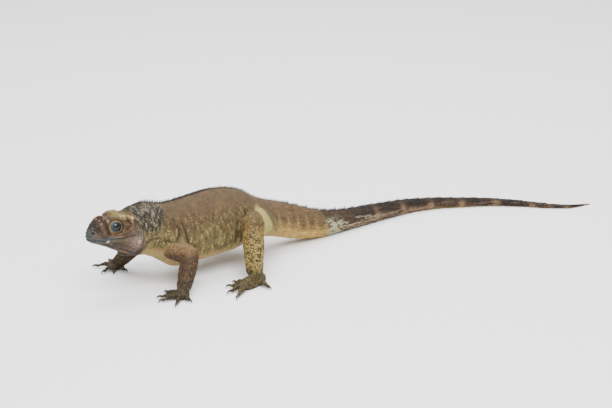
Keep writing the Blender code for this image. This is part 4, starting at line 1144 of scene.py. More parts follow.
def face_markings(points, colours, grain, fine):
    """Tones of the head: crown, snout, jaw, eyelids, ears and lips."""
    c = colours
    forward, side, up = head_coords(points)
    aside = np.abs(side)
    face = Tones(c.crown, len(points))
    face.lay(c.head_tan, rise(-0.1, 0.7, lumps(points, *HEAD_BROAD)) * 0.55)
    face.lay(c.snout_dark, rise(0.75, 0.92, grain) * 0.35)
    face.lay(c.snout_dark, rise(0.048, 0.060, forward) * rise(0.006, 0.016, up) * 0.78)
    face.lay(c.lid, rise(0.1, 0.8, lumps(points, *SNOUT_SPOTS)) * rise(0.046, 0.056, forward) * 0.30)
    # Painted shade: a dark stripe in the hollow of the snout before the eye
    stripe = np.abs(forward - 0.0510 - (up - 0.014) * 0.30)
    face.lay(c.snout_dark, bell(stripe, 0.0030) * rise(0.003, 0.007, up) * (aside > 0.004) * 0.75)
    face.lay(c.head_tan, bell(stripe - 0.0055, 0.0024) * rise(0.003, 0.008, up) * 0.45)
    face.lay(c.head_tan, bell(up - 0.0255, 0.004) * rise(0.010, 0.014, aside) * 0.55
             * rise(0.048, 0.040, forward))
    jowl = bell(np.hypot(forward - 0.0110, (up + 0.0080) * 1.1), 0.0135)
    face.lay(c.jowl, jowl * 0.85 * (aside > 0.010))
    flat = np.column_stack([forward, up])
    for path, name, width, amount in FACE_LINES:
        near = bell(path_gap(flat, path) + 0.0005 * fine, width)
        face.lay(getattr(colours, name), near * amount * (aside > 0.007))
    face.lay(c.snout_dark, rise(-0.019, -0.027, up + 0.002 * fine) * 0.55)
    below_eye = rise(0.028, 0.034, forward) * rise(0.052, 0.046, forward)
    face.lay(c.head_tan, bell(up - 0.0030, 0.0018) * below_eye * 0.60)

    # Ear, pale plate and knobs
    face.lay(c.plate, bell(forward - 0.0060, 0.0046) * bell(up + 0.0025, 0.0092) * 0.66 * (1 - 0.30 * grain))
    ear = ear_gap(forward, up)
    # Painted shade: the ear drum darkened in its hollow
    face.lay(c.snout_dark, rise(0.0052, 0.0034, ear) * 0.60 * (aside > 0.012))
    face.lay(c.fold, bell(ear - 0.0056, 0.0010) * rise(0.004, -0.003, forward - EAR_AT[0]) * 0.6)
    face.lay(c.snout_dark, bell(np.hypot(forward - 0.0150, up - 0.0230), 0.0085) * 0.35)
    face.lay(c.boss, bell(np.hypot(forward - 0.0300, up - 0.0280), 0.0052) * rise(0.35, 0.75, grain)
             * 0.75 * (aside > 0.008))
    face.lay(c.boss, bell(forward - 0.0235, 0.0075) * rise(0.0225, 0.0255, up) * rise(0.0145, 0.0115, aside)
             * (0.35 + 0.35 * grain))
    for at in KNOBS:
        knob = rise(0.0022, 0.0012, np.hypot(forward - at[0], up - at[1]))
        face.lay(c.boss, knob * 0.85 * (aside > 0.012))
    face.lay(c.snout_dark, bell(np.hypot(forward - 0.0450, up - 0.0257), 0.0024) * 0.70 * (aside > 0.004))
    face.lay(c.neck_dot, bell(np.hypot(forward - 0.0480, up - 0.0215), 0.0016) * 0.40 * (aside > 0.006))

    # Lips and the end of the snout
    line = up - mouth_height(forward)
    face.lay(c.lip, bell(line, 0.0038) * rise(0.030, 0.046, forward) * 0.92)
    face.lay(c.lip, rise(0.066, 0.072, forward) * rise(0.016, 0.010, up) * 0.55)
    jaw = rise(0.020, 0.026, forward) * rise(0.046, 0.040, forward)
    face.lay(c.fold, bell(line + 0.0036, 0.0016) * 0.55 * jaw)
    face.lay(WHITE, bell(np.hypot(forward - 0.0500, line + 0.0022), 0.0016) * 0.85)
    # Painted shade along the slit of the closed mouth
    face.lay(c.dot, bell(line, 0.0005) * rise(0.0275, 0.031, forward) * 0.8)

    # Nostrils and eyelids
    for sign in SIDES:
        nostril = nostril_gap(points, sign)
        face.lay(c.lid, bell(nostril - 0.0029, 0.0009) * 0.40)
        # Painted shade: the nostril's hole painted black
        face.lay(NOSTRIL_SHADE, rise(0.0021, 0.0015, nostril))
        _, above, out, ring = eye_coords(points, sign)
        ring = ring + (out < -0.001) * 9
        above = rise(-0.2, 0.5, above / 0.006)
        face.lay(c.head_tan, rise(2.05, 1.80, ring + 0.08 * fine) * (0.10 + 0.20 * above))
        face.lay(c.snout_dark, bell(ring - 1.72, 0.10) * (0.80 - 0.35 * above))
        face.lay(c.lid_rim, bell(ring - 1.36, 0.07) * (0.50 + 0.40 * above))
        face.lay(c.lid, rise(1.30, 1.22, ring) * 0.95)
        face.lay(c.dot, rise(1.08, 1.02, ring) * 0.95)
    return face


# Materials

# The colour sockets of the mix node, whose names its other sockets share
MIX_A, MIX_B, MIX_RESULT = 6, 7, 2
# Scales of the noises of mottling, wear and the streaks of horn, and the depth of the skin's relief
MOTTLE_SCALE, WEAR_SCALE, STREAK_SCALE = 420.0, 260.0, 900.0
RELIEF_DEPTH = 0.0004
# Rings of the eye from pupil to rim, with the colour of each
EYE_RINGS = ((0.0, "020202"), (0.56, "030303"), (0.62, "14191b"), (0.78, "252d30"), (0.88, "0c0e0f"),
             (0.94, "040404"), (1.0, "1d1813"))


def node_tree(name):
    made = bpy.data.materials.new(name)
    made.use_nodes = True
    tree = made.node_tree
    return made, tree, tree.nodes["Principled BSDF"]


def attribute(tree, name):
    node = tree.nodes.new("ShaderNodeAttribute")
    node.attribute_name = name
    return node


def multiply(tree, first, second, target):
    """Links the product of two colours to a socket."""
    blend = tree.nodes.new("ShaderNodeMix")
    blend.data_type = "RGBA"
    blend.blend_type = "MULTIPLY"
    blend.inputs["Factor"].default_value = 1.0
    tree.links.new(first.outputs["Color"], blend.inputs[MIX_A])
    tree.links.new(second.outputs["Color"], blend.inputs[MIX_B])
    tree.links.new(blend.outputs[MIX_RESULT], target)


def add_noise(tree, scale, detail=3.0):
    place = tree.nodes.new("ShaderNodeTexCoord")
    noise = tree.nodes.new("ShaderNodeTexNoise")
    noise.inputs["Scale"].default_value = scale
    noise.inputs["Detail"].default_value = detail
    noise.inputs["Roughness"].default_value = 0.55
    tree.links.new(place.outputs["Object"], noise.inputs["Vector"])
    return noise


def add_ramp(tree, source, stops):
    ramp = tree.nodes.new("ShaderNodeValToRGB")
    tree.links.new(source, ramp.inputs["Fac"])
    elements = ramp.color_ramp.elements
    while len(elements) < len(stops):
        elements.new(0.5)
    for element, (place, colour) in zip(elements, stops):
        element.position = place
        element.color = (*colour, 1.0)
    return ramp


def grey(value):
    return (value, value, value)


def skin_material(name, gloss=0.56, grain_scale=620.0, bump=0.35, mottle=0.24):
    """The animal's markings, mottled and grained, with the fine relief of skin."""
    made, tree, shader = node_tree(name)
    spots = add_noise(tree, MOTTLE_SCALE)
    ramp = add_ramp(tree, spots.outputs["Fac"], [(0.28, grey(1 - mottle)), (0.72, grey(1 + mottle * 0.4))])
    multiply(tree, attribute(tree, "tone"), ramp, shader.inputs["Base Color"])
    cells = tree.nodes.new("ShaderNodeTexVoronoi")
    cells.inputs["Scale"].default_value = grain_scale
    place = tree.nodes.new("ShaderNodeTexCoord")
    tree.links.new(place.outputs["Object"], cells.inputs["Vector"])
    relief = tree.nodes.new("ShaderNodeBump")
    relief.inputs["Strength"].default_value = bump
    relief.inputs["Distance"].default_value = RELIEF_DEPTH
    relief.invert = True
    tree.links.new(cells.outputs["Distance"], relief.inputs["Height"])
    tree.links.new(relief.outputs["Normal"], shader.inputs["Normal"])
    wear = add_noise(tree, WEAR_SCALE, 2.0)
    rough = add_ramp(tree, wear.outputs["Fac"], [(0.3, grey(gloss - 0.08)), (0.7, grey(gloss + 0.10))])
    tree.links.new(rough.outputs["Color"], shader.inputs["Roughness"])
    shader.inputs["Specular IOR Level"].default_value = 0.24
    return made


def eye_material():
    """Black pupil, slate iris with fine rays and a dark rim, under a wet clear coat."""
    made, tree, shader = node_tree("eye_wet")
    rings = [(place, hue(code)) for place, code in EYE_RINGS]
    ramp = add_ramp(tree, attribute(tree, "ring").outputs["Fac"], rings)
    streaks = add_ramp(tree, attribute(tree, "ray").outputs["Fac"], [(0.2, grey(0.72)), (0.8, grey(1.25))])
    multiply(tree, ramp, streaks, shader.inputs["Base Color"])
    shader.inputs["Roughness"].default_value = 0.16
    shader.inputs["Coat Weight"].default_value = 0.1
    shader.inputs["Specular IOR Level"].default_value = 0.28
    shader.inputs["Coat Roughness"].default_value = 0.02
    return made


def horn_material(name, gloss=0.30):
    """Horn: the piece's own tone, streaked along its growth, polished."""
    made, tree, shader = node_tree(name)
    streaks = add_noise(tree, STREAK_SCALE, 4.0)
    ramp = add_ramp(tree, streaks.outputs["Fac"], [(0.3, grey(0.75)), (0.7, grey(1.15))])
    multiply(tree, attribute(tree, "tone"), ramp, shader.inputs["Base Color"])
    wear = add_ramp(tree, streaks.outputs["Fac"], [(0.3, grey(gloss)), (0.7, grey(gloss + 0.15))])
    tree.links.new(wear.outputs["Color"], shader.inputs["Roughness"])
    return made


# Scales

def ring_faces(rings, sides):
    """Triangles between rings of points, closed by one last point."""
    faces = []
    for a, b in pairs(rings, sides):
        faces += [(a, b, b + sides), (a, b + sides, a + sides)]
    last = (rings - 1) * sides
    faces += [(last + j, last + (j + 1) % sides, rings * sides) for j in range(sides)]
    return np.array(faces)


def ring_template(sides, levels, tip, first=0.0, power=1.0):
    """A scale as points, triangles and painted shading. Levels give width, shift back, height, tilt and
    painted shading, a factor on the colour that paints the rim darker as shade and the top lighter as a
    highlight.
    """
    turns = turns_round(sides) + first
    long, wide = (np.sign(wave) * np.abs(wave) ** power * 0.5 for wave in (np.cos(turns), np.sin(turns)))
    rings = [np.column_stack([long * size + back, wide * size, high + tilt * long])
             for size, back, high, tilt, _ in levels]
    painted_shading = np.append(np.repeat([level[4] for level in levels], sides), tip[3])
    return np.vstack(rings + [[tip[:3]]]), ring_faces(len(levels), sides), painted_shading


def keel_template():
    """A keeled scale of the tail: long, with a ridge that ends in a low spine behind."""
    points, painted_shading = [], []
    for along, wide, edge, ridge in ((-0.5, 0.36, -0.4, 0.10), (-0.1, 0.50, -0.3, 0.75),
                                     (0.38, 0.46, 0.10, 1.10)):
        for across, high in ((-1, edge - 0.25), (-0.62, edge + 0.60), (0, ridge + 0.15),
                             (0.62, edge + 0.60), (1, edge - 0.25)):
            points.append((along, wide * across, high))
        # Painted shading: the edges darker as painted shade, the ridge lighter as a painted highlight
        painted_shading += [0.36, 0.90, 1.16, 0.90, 0.36]
    points += [(0.66, 0.0, 1.25), (0.45, 0.0, -0.45)]
    # The spine's tip lighter as a painted highlight, the point under it darker as painted shade
    painted_shading += [1.15, 0.45]
    faces = []
    for i in range(2):
        for j in range(4):
            a, b = i * 5 + j, i * 5 + j + 1
            faces += [(a, a + 5, b), (b, a + 5, b + 5)]
    faces += [(10, 15, 11), (11, 15, 12), (12, 15, 13), (13, 15, 14), (10, 16, 15), (15, 16, 14)]
    faces += [(0, 1, 2), (0, 2, 4), (2, 3, 4)]
    faces += [(0, 4, 16), (0, 16, 5), (5, 16, 10), (4, 9, 16), (9, 14, 16)]
    return np.array(points), np.array(faces), np.array(painted_shading)


# A low scale that is higher behind, a blunt cone, a flat shield of the lip, a blade that sweeps back, and the
# keeled scale. The last number of each level and of each tip is its painted shading: rims painted darker as
# shade, tops painted lighter as a highlight. The blade's numbers are also a quarter as bright, for the
# crest's dark horn
DISC = ring_template(6, ((1.0, 0.0, -0.45, 0.0, 0.34), (0.74, 0.02, 0.66, 0.44, 0.94)),
                     (0.10, 0.0, 1.0, 1.16), first=math.pi / 6)
CONE = ring_template(7, ((1.0, -0.024, -0.4, 0.0, 0.45), (0.80, 0.015, 0.25, 0.0, 0.80),
                         (0.44, 0.0468, 0.78, 0.0, 1.15)), (0.08, 0.0, 1.0, 1.35))
SHIELD = ring_template(12, ((1.0, 0.0, -0.5, 0.0, 0.45), (0.90, 0.0, 0.55, 0.0, 0.92),
                            (0.66, 0.0, 0.92, 0.0, 1.04)), (0.0, 0.0, 1.0, 1.06), power=0.55)
SPINE = ring_template(8, ((1.0, 0.0, -0.30, 0.0, 0.1375), (0.92, 0.02, 0.12, 0.0, 0.20),
                          (0.66, 0.14, 0.48, 0.0, 0.25), (0.32, 0.34, 0.80, 0.0, 0.25)),
                      (0.58, 0.0, 1.0, 0.275))
KEEL = keel_template()
# Side of the patch that a scale takes on the map
PATCH = 0.003


class Roots:
    """Places where scales stand: position, normal, direction, length, width, height and map place."""

    def __init__(self):
        self.rows = []

    def add(self, found, along, length, width, height):
        place, normal, face = found
        self.rows.append((*place, *normal, *along, length, width, height, *MADE["skin"].map[face]))

    def array(self):
        return np.array(self.rows, float)


class Taken:
    """Which places already hold a scale."""

    def __init__(self, cell=0.003):
        self.cell, self.grid = cell, {}

    def add(self, place, radius):
        key = tuple(np.floor(place / self.cell).astype(int))
        self.grid.setdefault(key, []).append((*place, radius))

    def free(self, place, radius):
        i, j, k = np.floor(place / self.cell).astype(int)
        x, y, z = place
        for a in (i - 1, i, i + 1):
            for b in (j - 1, j, j + 1):
                for c in (k - 1, k, k + 1):
                    for p, q, r, other in self.grid.get((a, b, c), ()):
                        reach = radius + other
                        if (p - x) ** 2 + (q - y) ** 2 + (r - z) ** 2 < reach * reach:
                            return False
        return True


def coat_piece(name, points, faces, tones, spread, material, slot):
    """Many scales as one mesh with their tones and the baked colours' map."""
    count = points.shape[1]
    all_faces = (faces[None] + (np.arange(len(points)) * count)[:, None, None]).reshape(-1, 3)
    mesh = array_mesh(name, points.reshape(-1, 3), all_faces)
    paint(mesh, np.clip(tones.reshape(-1, 3), 0, 1))
    layer = mesh.uv_layers.new(name="OFBake")
    layer.data.foreach_set("uv", spread.reshape(-1, 2)[all_faces.ravel()].astype(np.float32).ravel())
    piece = link(name, mesh, material)
    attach(piece, "root")


def lay_scales(name, roots, template, colours, seed, material, slot, variety=0.12):
    """Copies of a template at every root, each a little different in size."""
    shape, faces, painted_shading = template
    rows = roots.array()
    rng = np.random.default_rng(seed)
    grain = rng.random(len(rows))
    place, normal, along = rows[:, 0:3], unit(rows[:, 3:6]), rows[:, 6:9]
    along = unit(along - normal * (along * normal).sum(1)[:, None])
    across = np.cross(normal, along)
    spans = rows[:, 9:12].T * (1 + variety * (rng.random((3, len(rows))) - 0.5))
    points = place[:, None]
    for way, part, span in zip((along, across, normal), shape.T, spans):
        points = points + way[:, None] * (part * span[:, None])[:, :, None]
    points[:, :, 2] = np.maximum(points[:, :, 2], SCALE_FLOOR)
    # The markings times each point's painted shade and highlight
    tones = markings(place, colours, grain)[:, None, :] * painted_shading[None, :, None]
    coat_piece(name, points, faces, tones, rows[:, None, 12:14] + shape[None, :, :2] * PATCH, material, slot)


def row_roots(start, end, step, width, height, taken, stretch=1.15):
    """Scales in rows round the body from one distance to another."""
    skin, roots = MADE["skin"], Roots()
    turns = np.linspace(0, 2 * np.pi, 145)
    at, odd = start, 0
    while at < end:
        lengths = lengths_along(LINE.section(np.full(len(turns), at), turns))
        wide = width(at)
        count = max(6, int(round(lengths[-1] / wide)))
        stops = (np.arange(count) + 0.5 * (odd % 2)) / count * lengths[-1]
        wanted, all_at = np.interp(stops, lengths, turns), np.full(count, at)
        along = LINE.along(np.array([at]))[0]
        ahead = LINE.section(all_at, wanted + 0.02) - LINE.section(all_at, wanted - 0.02)
        outs = unit(np.cross(ahead, along))
        for place, out in zip(LINE.section(all_at, wanted), outs):
            found = skin.hit(place + out * 0.007, -out, 0.014)
            if found is None or np.linalg.norm(found[0] - place) > 0.0042 or found[0][2] < ROOT_FLOOR:
                continue
            roots.add(found, along, step(at) * stretch, wide * 1.04, height(at))
            taken.add(found[0], wide * 0.45)
        at += step(at)
        odd += 1
    return roots


def run_roots(roots, path, radii, step, width, height, taken, reach=1.35, check=0.62):
    """Scales in rows round a length of limb or toe."""
    skin = MADE["skin"]
    path, radii = resample(path, radii, step)
    ahead, side, over = path_axes(path)
    for i in range(len(path)):
        count = max(6, int(round(2 * math.pi * radii[i] / width)))
        for j in range(count):
            turn = 2 * math.pi * (j + 0.5 * (i % 2)) / count
            out = side[i] * math.cos(turn) + over[i] * math.sin(turn)
            found = skin.hit(path[i] + out * (radii[i] + 0.006), -out, radii[i] + 0.006)
            if found is None or found[0][2] < 0.0010 or not taken.free(found[0], width * check * 0.5):
                continue
            if np.linalg.norm(found[0] - path[i]) > radii[i] * reach + 0.001:
                continue
            roots.add(found, ahead[i], step * 1.15, width * 1.02, height)
            taken.add(found[0], width * 0.42)


def fill_roots(chosen, size, height, taken, seed):
    """Small scales scattered over what is still bare of the chosen faces."""
    skin, roots = MADE["skin"], Roots()
    picks = np.flatnonzero(chosen)
    np.random.default_rng(seed).shuffle(picks)
    for face in picks:
        place = skin.middles[face]
        if taken.free(place, size * 0.46):
            taken.add(place, size * 0.46)
            roots.add((place, skin.normal(face), face), TAILWARD, size * 1.05, size * 1.05, height)
    return roots


def mosaic(name, roots, colours, seed, material, slot, sides=8, gap=0.00010, reach=1.30):
    """Plates that fill the room between their neighbours, as on a reptile's head."""
    rows = roots.array()
    place, normal, sizes, heights = rows[:, 0:3], unit(rows[:, 3:6]), rows[:, 9], rows[:, 11]
    tree = KDTree(len(rows))
    for i, point in enumerate(place):
        tree.insert(point, i)
    tree.balance()
    rng = np.random.default_rng(seed)
    turns = turns_round(sides)
    starts = rng.random(len(rows)) * 2 * np.pi / sides
    biggest = sizes.max()
    points = np.empty((len(rows), 2 * sides + 1, 3))
    local = np.empty((len(rows), 2 * sides + 1, 2))
    for i in range(len(rows)):
        first = np.cross(normal[i], (0.31, 0.52, 0.79))
        first /= np.linalg.norm(first)
        second = np.cross(normal[i], first)
        found = tree.find_range(place[i], (sizes[i] + biggest) * 1.1)
        near = np.array([j for _, j, _ in found if j != i], int)
        angles = turns + starts[i]
        rays = np.column_stack([np.cos(angles), np.sin(angles)])
        radii = np.full(sides, sizes[i] * reach)
        if len(near):
            offset = place[near] - place[i]
            flat = np.column_stack([offset @ first, offset @ second])
            span = np.linalg.norm(flat, axis=1)
            cut = flat @ rays.T
            part = (sizes[i] / (sizes[i] + sizes[near])) * span**2
            limit = np.where(cut > 0.15 * span[:, None], part[:, None] / np.maximum(cut, 1e-9), 1.0)
            radii = np.minimum(radii, limit.min(0) - gap)
        radii = np.maximum(radii, sizes[i] * 0.28)
        rim = (first * rays[:, :1] + second * rays[:, 1:]) * radii[:, None]
        points[i, :sides] = place[i] + rim - normal[i] * 0.00022
        points[i, sides:2 * sides] = place[i] + rim * 0.80 + normal[i] * heights[i] * 0.78
        points[i, 2 * sides] = place[i] + normal[i] * heights[i]
        flat_rim = rays * (radii / max(radii.max(), 1e-6))[:, None] * 0.5
        local[i, :sides], local[i, sides:2 * sides], local[i, 2 * sides] = flat_rim, flat_rim * 0.8, 0.0
    tones = markings(place, colours, rng.random(len(rows)))[:, None]
    # Painted shading: each plate's rim painted darker as shade, its top lighter as a highlight
    painted_shading = np.append(np.repeat((0.30, 0.94), sides), 1.14)[None, :, None]
    coat_piece(name, points, ring_faces(2, sides), tones * painted_shading, rows[:, None, 12:14] + local * PATCH,
               material, slot)


def root_near(roots, target, size, height, taken, reach=0.010):
    """Roots one plate at the skin's nearest place to the target."""
    skin = MADE["skin"]
    place, _, face, _ = skin.tree.find_nearest(Vector(target), reach)
    if place is None:
        return
    place = np.array(place)
    roots.add((place, skin.normal(face), face), AHEAD, size, size, height)
    taken.add(place, size * 0.95)


# Named plates of the head: forward, side, up, radius and height. The big ones are on both sides
BIG_PLATES = [
    (0.0480, 0.0150, 0.0262, 0.0036, 0.0016), (0.0410, 0.0145, 0.0290, 0.0022, 0.0010),
    (0.0365, 0.0152, 0.0295, 0.0021, 0.0010), (0.0320, 0.0160, 0.0292, 0.0021, 0.0010),
    (0.0275, 0.0168, 0.0287, 0.0021, 0.0010), (0.0230, 0.0174, 0.0276, 0.0022, 0.0011),
    (0.0168, 0.0190, 0.0246, 0.0034, 0.0022), (0.0108, 0.0200, 0.0228, 0.0026, 0.0016),
    (0.0125, 0.0150, 0.0272, 0.0026, 0.0014), (0.0545, 0.0110, 0.0285, 0.0028, 0.0012),
    (0.0605, 0.0080, 0.0265, 0.0026, 0.0010), (0.0585, 0.0120, 0.0215, 0.0026, 0.0009),
    (0.0650, 0.0085, 0.0190, 0.0024, 0.0008), (0.0062, 0.0260, -0.0072, 0.0040, 0.0012),
    (0.0105, 0.0262, -0.0130, 0.0025, 0.0009), (0.0040, 0.0250, -0.0150, 0.0023, 0.0008),
    (0.0150, 0.0258, -0.0095, 0.0021, 0.0008), (0.0690, 0.0050, 0.0150, 0.0022, 0.0008),
]
CROWN_PLATES = [
    (0.0555, 0.0, 0.0330, 0.0042, 0.0026), (0.0630, 0.0, 0.0290, 0.0032, 0.0016),
    (0.0480, 0.0, 0.0300, 0.0030, 0.0010), (0.0685, 0.0, 0.0220, 0.0026, 0.0010),
    (0.0420, 0.0, 0.0280, 0.0024, 0.0007), (0.0718, 0.0, 0.0120, 0.0022, 0.0007),
]
# Rows of small scales on the lids: ring, radius and height
LID_ROWS = ((1.12, 0.00052, 0.00030), (1.26, 0.00055, 0.00022), (1.42, 0.00060, 0.00024),
            (1.60, 0.00066, 0.00030), (1.80, 0.00075, 0.00036))
# Shields of the upper and lower lip: place above the mouth, length, width and height
LIP_ROWS = ((0.00180, 0.0036, 0.0024, 0.00030), (-0.00185, 0.0033, 0.0023, 0.00028))


def lid_roots(roots, sign, taken):
    """Rows of scales round the lids of one eye."""
    centre, look, fore, over = eye_axes(sign)
    for ring, size, height in LID_ROWS:
        around = 2 * math.pi * ring * (LID_OPEN[0] + LID_OPEN[1]) / 2
        count = int(around / (size * 2.1))
        for j in range(count):
            turn = 2 * math.pi * (j + 0.5 * (ring > 1.3)) / count
            out = (fore * math.cos(turn) * LID_OPEN[0] + over * math.sin(turn) * LID_OPEN[1]) * ring
            found = MADE["skin"].hit(centre + out + look * 0.014, -look, 0.016)
            if found is not None:
                roots.add(found, AHEAD, size, size, height)
                taken.add(found[0], size * 0.9)


def head_roots(sizes, taken):
    """Every plate of the head: the named ones, the lids' rows, then plates between them."""
    skin, roots = MADE["skin"], Roots()
    for plates, signs in ((BIG_PLATES, SIDES), (CROWN_PLATES, SIDES[:1])):
        for forward, side, up, radius, height in plates:
            for sign in signs:
                root_near(roots, head_point(forward, side * sign, up), radius, height, taken)
    for sign in SIDES:
        lid_roots(roots, sign, taken)
    middles = skin.middles
    forward, side, up = head_coords(middles)
    aside = np.abs(side)
    wanted = (forward > -0.0035) & (up > -0.045)
    wanted &= ~((np.abs(up - mouth_height(forward)) < 0.0030) & (forward > 0.028))
    wanted &= ~((ear_gap(forward, up) < 0.0040) & (aside > 0.012))
    for sign in SIDES:
        wanted &= ~lid_ring(middles, sign, 1.85)
        wanted &= nostril_gap(middles, sign) > 0.0025
    picks = np.flatnonzero(wanted)
    rng = np.random.default_rng(5)
    rng.shuffle(picks)
    for face in picks:
        place = middles[face]
        f, a, u = forward[face], aside[face], up[face]
        size = sizes.head_plate * 0.5
        size *= 1.0 + 0.45 * (f > 0.045) * (u > 0.008) - 0.22 * (u > 0.024) * (a < 0.010) * (f < 0.044)
        jowl = math.exp(-((f - 0.010) / 0.010) ** 2 - ((u + 0.010) / 0.010) ** 2)
        size *= 1.0 + 0.30 * jowl - 0.12 * (u < -0.018)
        size *= 0.92 + 0.30 * rng.random()
        if taken.free(place, size * 0.80):
            taken.add(place, size * 0.80)
            roots.add((place, skin.normal(face), face), AHEAD, size, size, size * 0.42)
    return roots


def labial_roots(taken):
    """The shields along both lips, from the jaw's hinge to the nose."""
    skin, roots = MADE["skin"], Roots()
    for sign in SIDES:
        for lift, long, wide, height in LIP_ROWS:
            forward = 0.0300
            while forward < 0.0735:
                spread, before = (0.030, 0.0) if forward < 0.069 else (0.012, 0.010)
                up = mouth_height(forward) + lift
                origin = head_point(forward, spread * sign, up) + AHEAD * before
                aim = unit(head_point(forward - 0.004, 0.0, up) - origin)
                found = skin.hit(origin, aim, 0.05)
                shrink = 1.0 - 0.30 * rise(0.040, 0.030, forward) - 0.15 * rise(0.064, 0.072, forward)
                if found is not None:
                    slope = unit(np.cross(found[1], OVER)) * -sign
                    roots.add(found, slope, long * shrink, wide, height)
                    taken.add(found[0], long * 0.42)
                forward += long * shrink * (0.93 if forward < 0.066 else 0.60)
    return roots


# Eyes, crest and claws

# Height and half width of the eye's clear bulge, and the radius of its outermost ring
BULGE_HEIGHT, BULGE_WIDTH, RING_END = 0.00035, 0.0042, 0.0062


def make_eye(side_name, sign, radius):
    """An eyeball with a bulging clear front, its tones laid out in rings round the way it looks."""
    centre, look, fore, over = eye_axes(sign)
    lats, sides = 40, 64
    points, rings, rays = [centre + look * (radius + BULGE_HEIGHT)], [0.0], [0.5]
    for i in range(1, lats):
        polar = math.pi * i / lats
        flat = math.sin(polar) * radius
        bulge = BULGE_HEIGHT * math.exp(-((flat / BULGE_WIDTH) ** 4)) if polar < math.pi / 2 else 0.0
        for j in range(sides):
            turn = 2 * math.pi * j / sides
            out = fore * math.cos(turn) + over * math.sin(turn)
            points.append(centre + out * flat + look * (math.cos(polar) * radius + bulge))
            rings.append(min(1.0, flat / RING_END) if polar < math.pi / 2 else 1.0)
            rays.append(0.5 + 0.5 * math.sin(turn * 23 + 3 * math.sin(turn * 5)))
    points.append(centre - look * radius)
    rings.append(1.0)
    rays.append(0.5)
    faces = [(0, 1 + j, 1 + (j + 1) % sides) for j in range(sides)]
    for a, b in pairs(lats - 1, sides, 1):
        faces += [(a, a + sides, b), (b, a + sides, b + sides)]
    last = 1 + (lats - 2) * sides
    faces += [(last + j, len(points) - 1, last + (j + 1) % sides) for j in range(sides)]
    faces = np.array(faces)
    if np.dot(np.cross(fore, over), look) < 0:
        faces = faces[:, ::-1]
    mesh = array_mesh("eye_" + side_name + "_ball", np.array(points), faces)
    for name, values in (("ring", rings), ("ray", rays)):
        layer = mesh.attributes.new(name, "FLOAT", "POINT")
        layer.data.foreach_set("value", np.array(values, np.float32))
    piece = link(mesh.name, mesh, eye_material())
    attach(piece, "root")
    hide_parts("eye_" + side_name)


# Share of the crest's height at places along the body
CREST_PLACES = (-0.156, -0.140, -0.115, -0.080, 0.030, 0.066, 0.090, 0.120, 0.180, 0.205, 0.300, 0.400, 0.480)
CREST_SHARES = (0.50, 0.98, 1.15, 0.98, 0.86, 0.84, 0.84, 0.88, 0.92, 1.00, 0.78, 0.42, 0.16)


def crest_roots(sizes):
    """One root for each spine of the mid line: each third one of the back and each whorl's last is taller."""
    skin, roots = MADE["skin"], Roots()
    at, end = LINE.distance(-0.1555), LINE.distance(0.4780)
    while at < end:
        row = LINE.at(at)[0]
        x = row[0] + ORIGIN[0]
        height = sizes.crest_height * float(np.interp(x, CREST_PLACES, CREST_SHARES))
        if x > WHORLS_START_X:
            height *= 0.78 + 0.42 * (((at - LINE.whorls) / WHORL_STEP) % 1.0)
        elif x > -0.100:
            height *= 0.86 + 0.20 * (len(roots.rows) % 3 == 0)
        found = skin.hit((row[0], row[1], row[2] + 0.010), DOWN, 0.030)
        length = 0.0016 + height * 0.62
        if found is not None:
            place, normal, face = found
            roots.add((place, UP * 0.9 + normal * 0.1, face), LINE.along(np.array([at]))[0], length,
                      0.0014 + height * 0.26, height)
        at += max(0.0026, length * 0.86)
    return roots


def make_claws(colours):
    """Twenty curved claws, deeper than wide, sharp and dark at the tips."""
    shells, tones = Shells(), []
    rng = np.random.default_rng(9)
    rings, sides, depth, tip_shade = 9, 10, 1.15, 0.75
    share = np.linspace(0, 1, rings)
    radii = CLAW_RADII[0] * (1 - share) ** 0.85 + CLAW_RADII[1]
    for limb in PLAN:
        for toe in limb["toes"]:
            path = smooth_columns(np.linspace(0, 1, 4), toe["claw"], share)
            path[:, 2] = np.maximum(path[:, 2], radii * depth + SCALE_FLOOR)
            shells.tube(path, radii, sides, flat=depth)
            root_shade = 1.2 + 0.4 * rng.random()
            ring_shades = np.repeat(root_shade + (tip_shade - root_shade) * share, sides)
            tones.append(np.concatenate([ring_shades, [root_shade, tip_shade]]))
    mesh = shells.mesh("claws")
    paint(mesh, np.clip(np.concatenate(tones)[:, None] * np.array(colours.claw[:3]), 0, 1))
    piece = link("claws", mesh, horn_material("claw_horn"))
    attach(piece, "root")


# The add-on's operators

# Sizes of scales that the panel doesn't set: width and height, and for toes length, width and height
TUBERCLE = (0.0026, 0.00085)
NECK_GRANULE = (0.0014, 0.00042)
GRANULE = (0.0014, 0.00034)
TOE_SCALE = (0.0015, 0.0021, 0.00032)
BODY_SCALE_HEIGHT, LIMB_SCALE_HEIGHT, FOOT_SCALE_HEIGHT = 0.00048, 0.00046, 0.00038
OPENING_RADIUS = 0.0003


class Builder:
    """What every operator here shares."""
    bl_options = {"REGISTER", "UNDO"}

    def execute(self, context):
        self.build(context.scene.iguana_sizes, context.scene.iguana_colours)
        return {"FINISHED"}


class IGUANA_OT_skin(Builder, bpy.types.Operator):
    """One skin over all the flesh, with lids, mouth, nostrils, ears and folds"""
    bl_idname = "iguana.skin"
    bl_label = "Skin"

    def build(self, sizes, colours):
        skin = make_skin(sizes, colours)
        MADE["taken"] = Taken()
        middles = MADE["skin"].middles
        for place in middles[openings(middles)]:
            MADE["taken"].add(place, OPENING_RADIUS)
        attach(skin, "root")
        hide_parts(*FLESH_NODES)


class IGUANA_OT_eyes(Builder, bpy.types.Operator):
    """Both eyeballs"""
    bl_idname = "iguana.eyes"
    bl_label = "Eyes"

    def build(self, sizes, colours):
        for side_name, sign in (("left", 1.0), ("right", -1.0)):
            make_eye(side_name, sign, sizes.eye_radius)


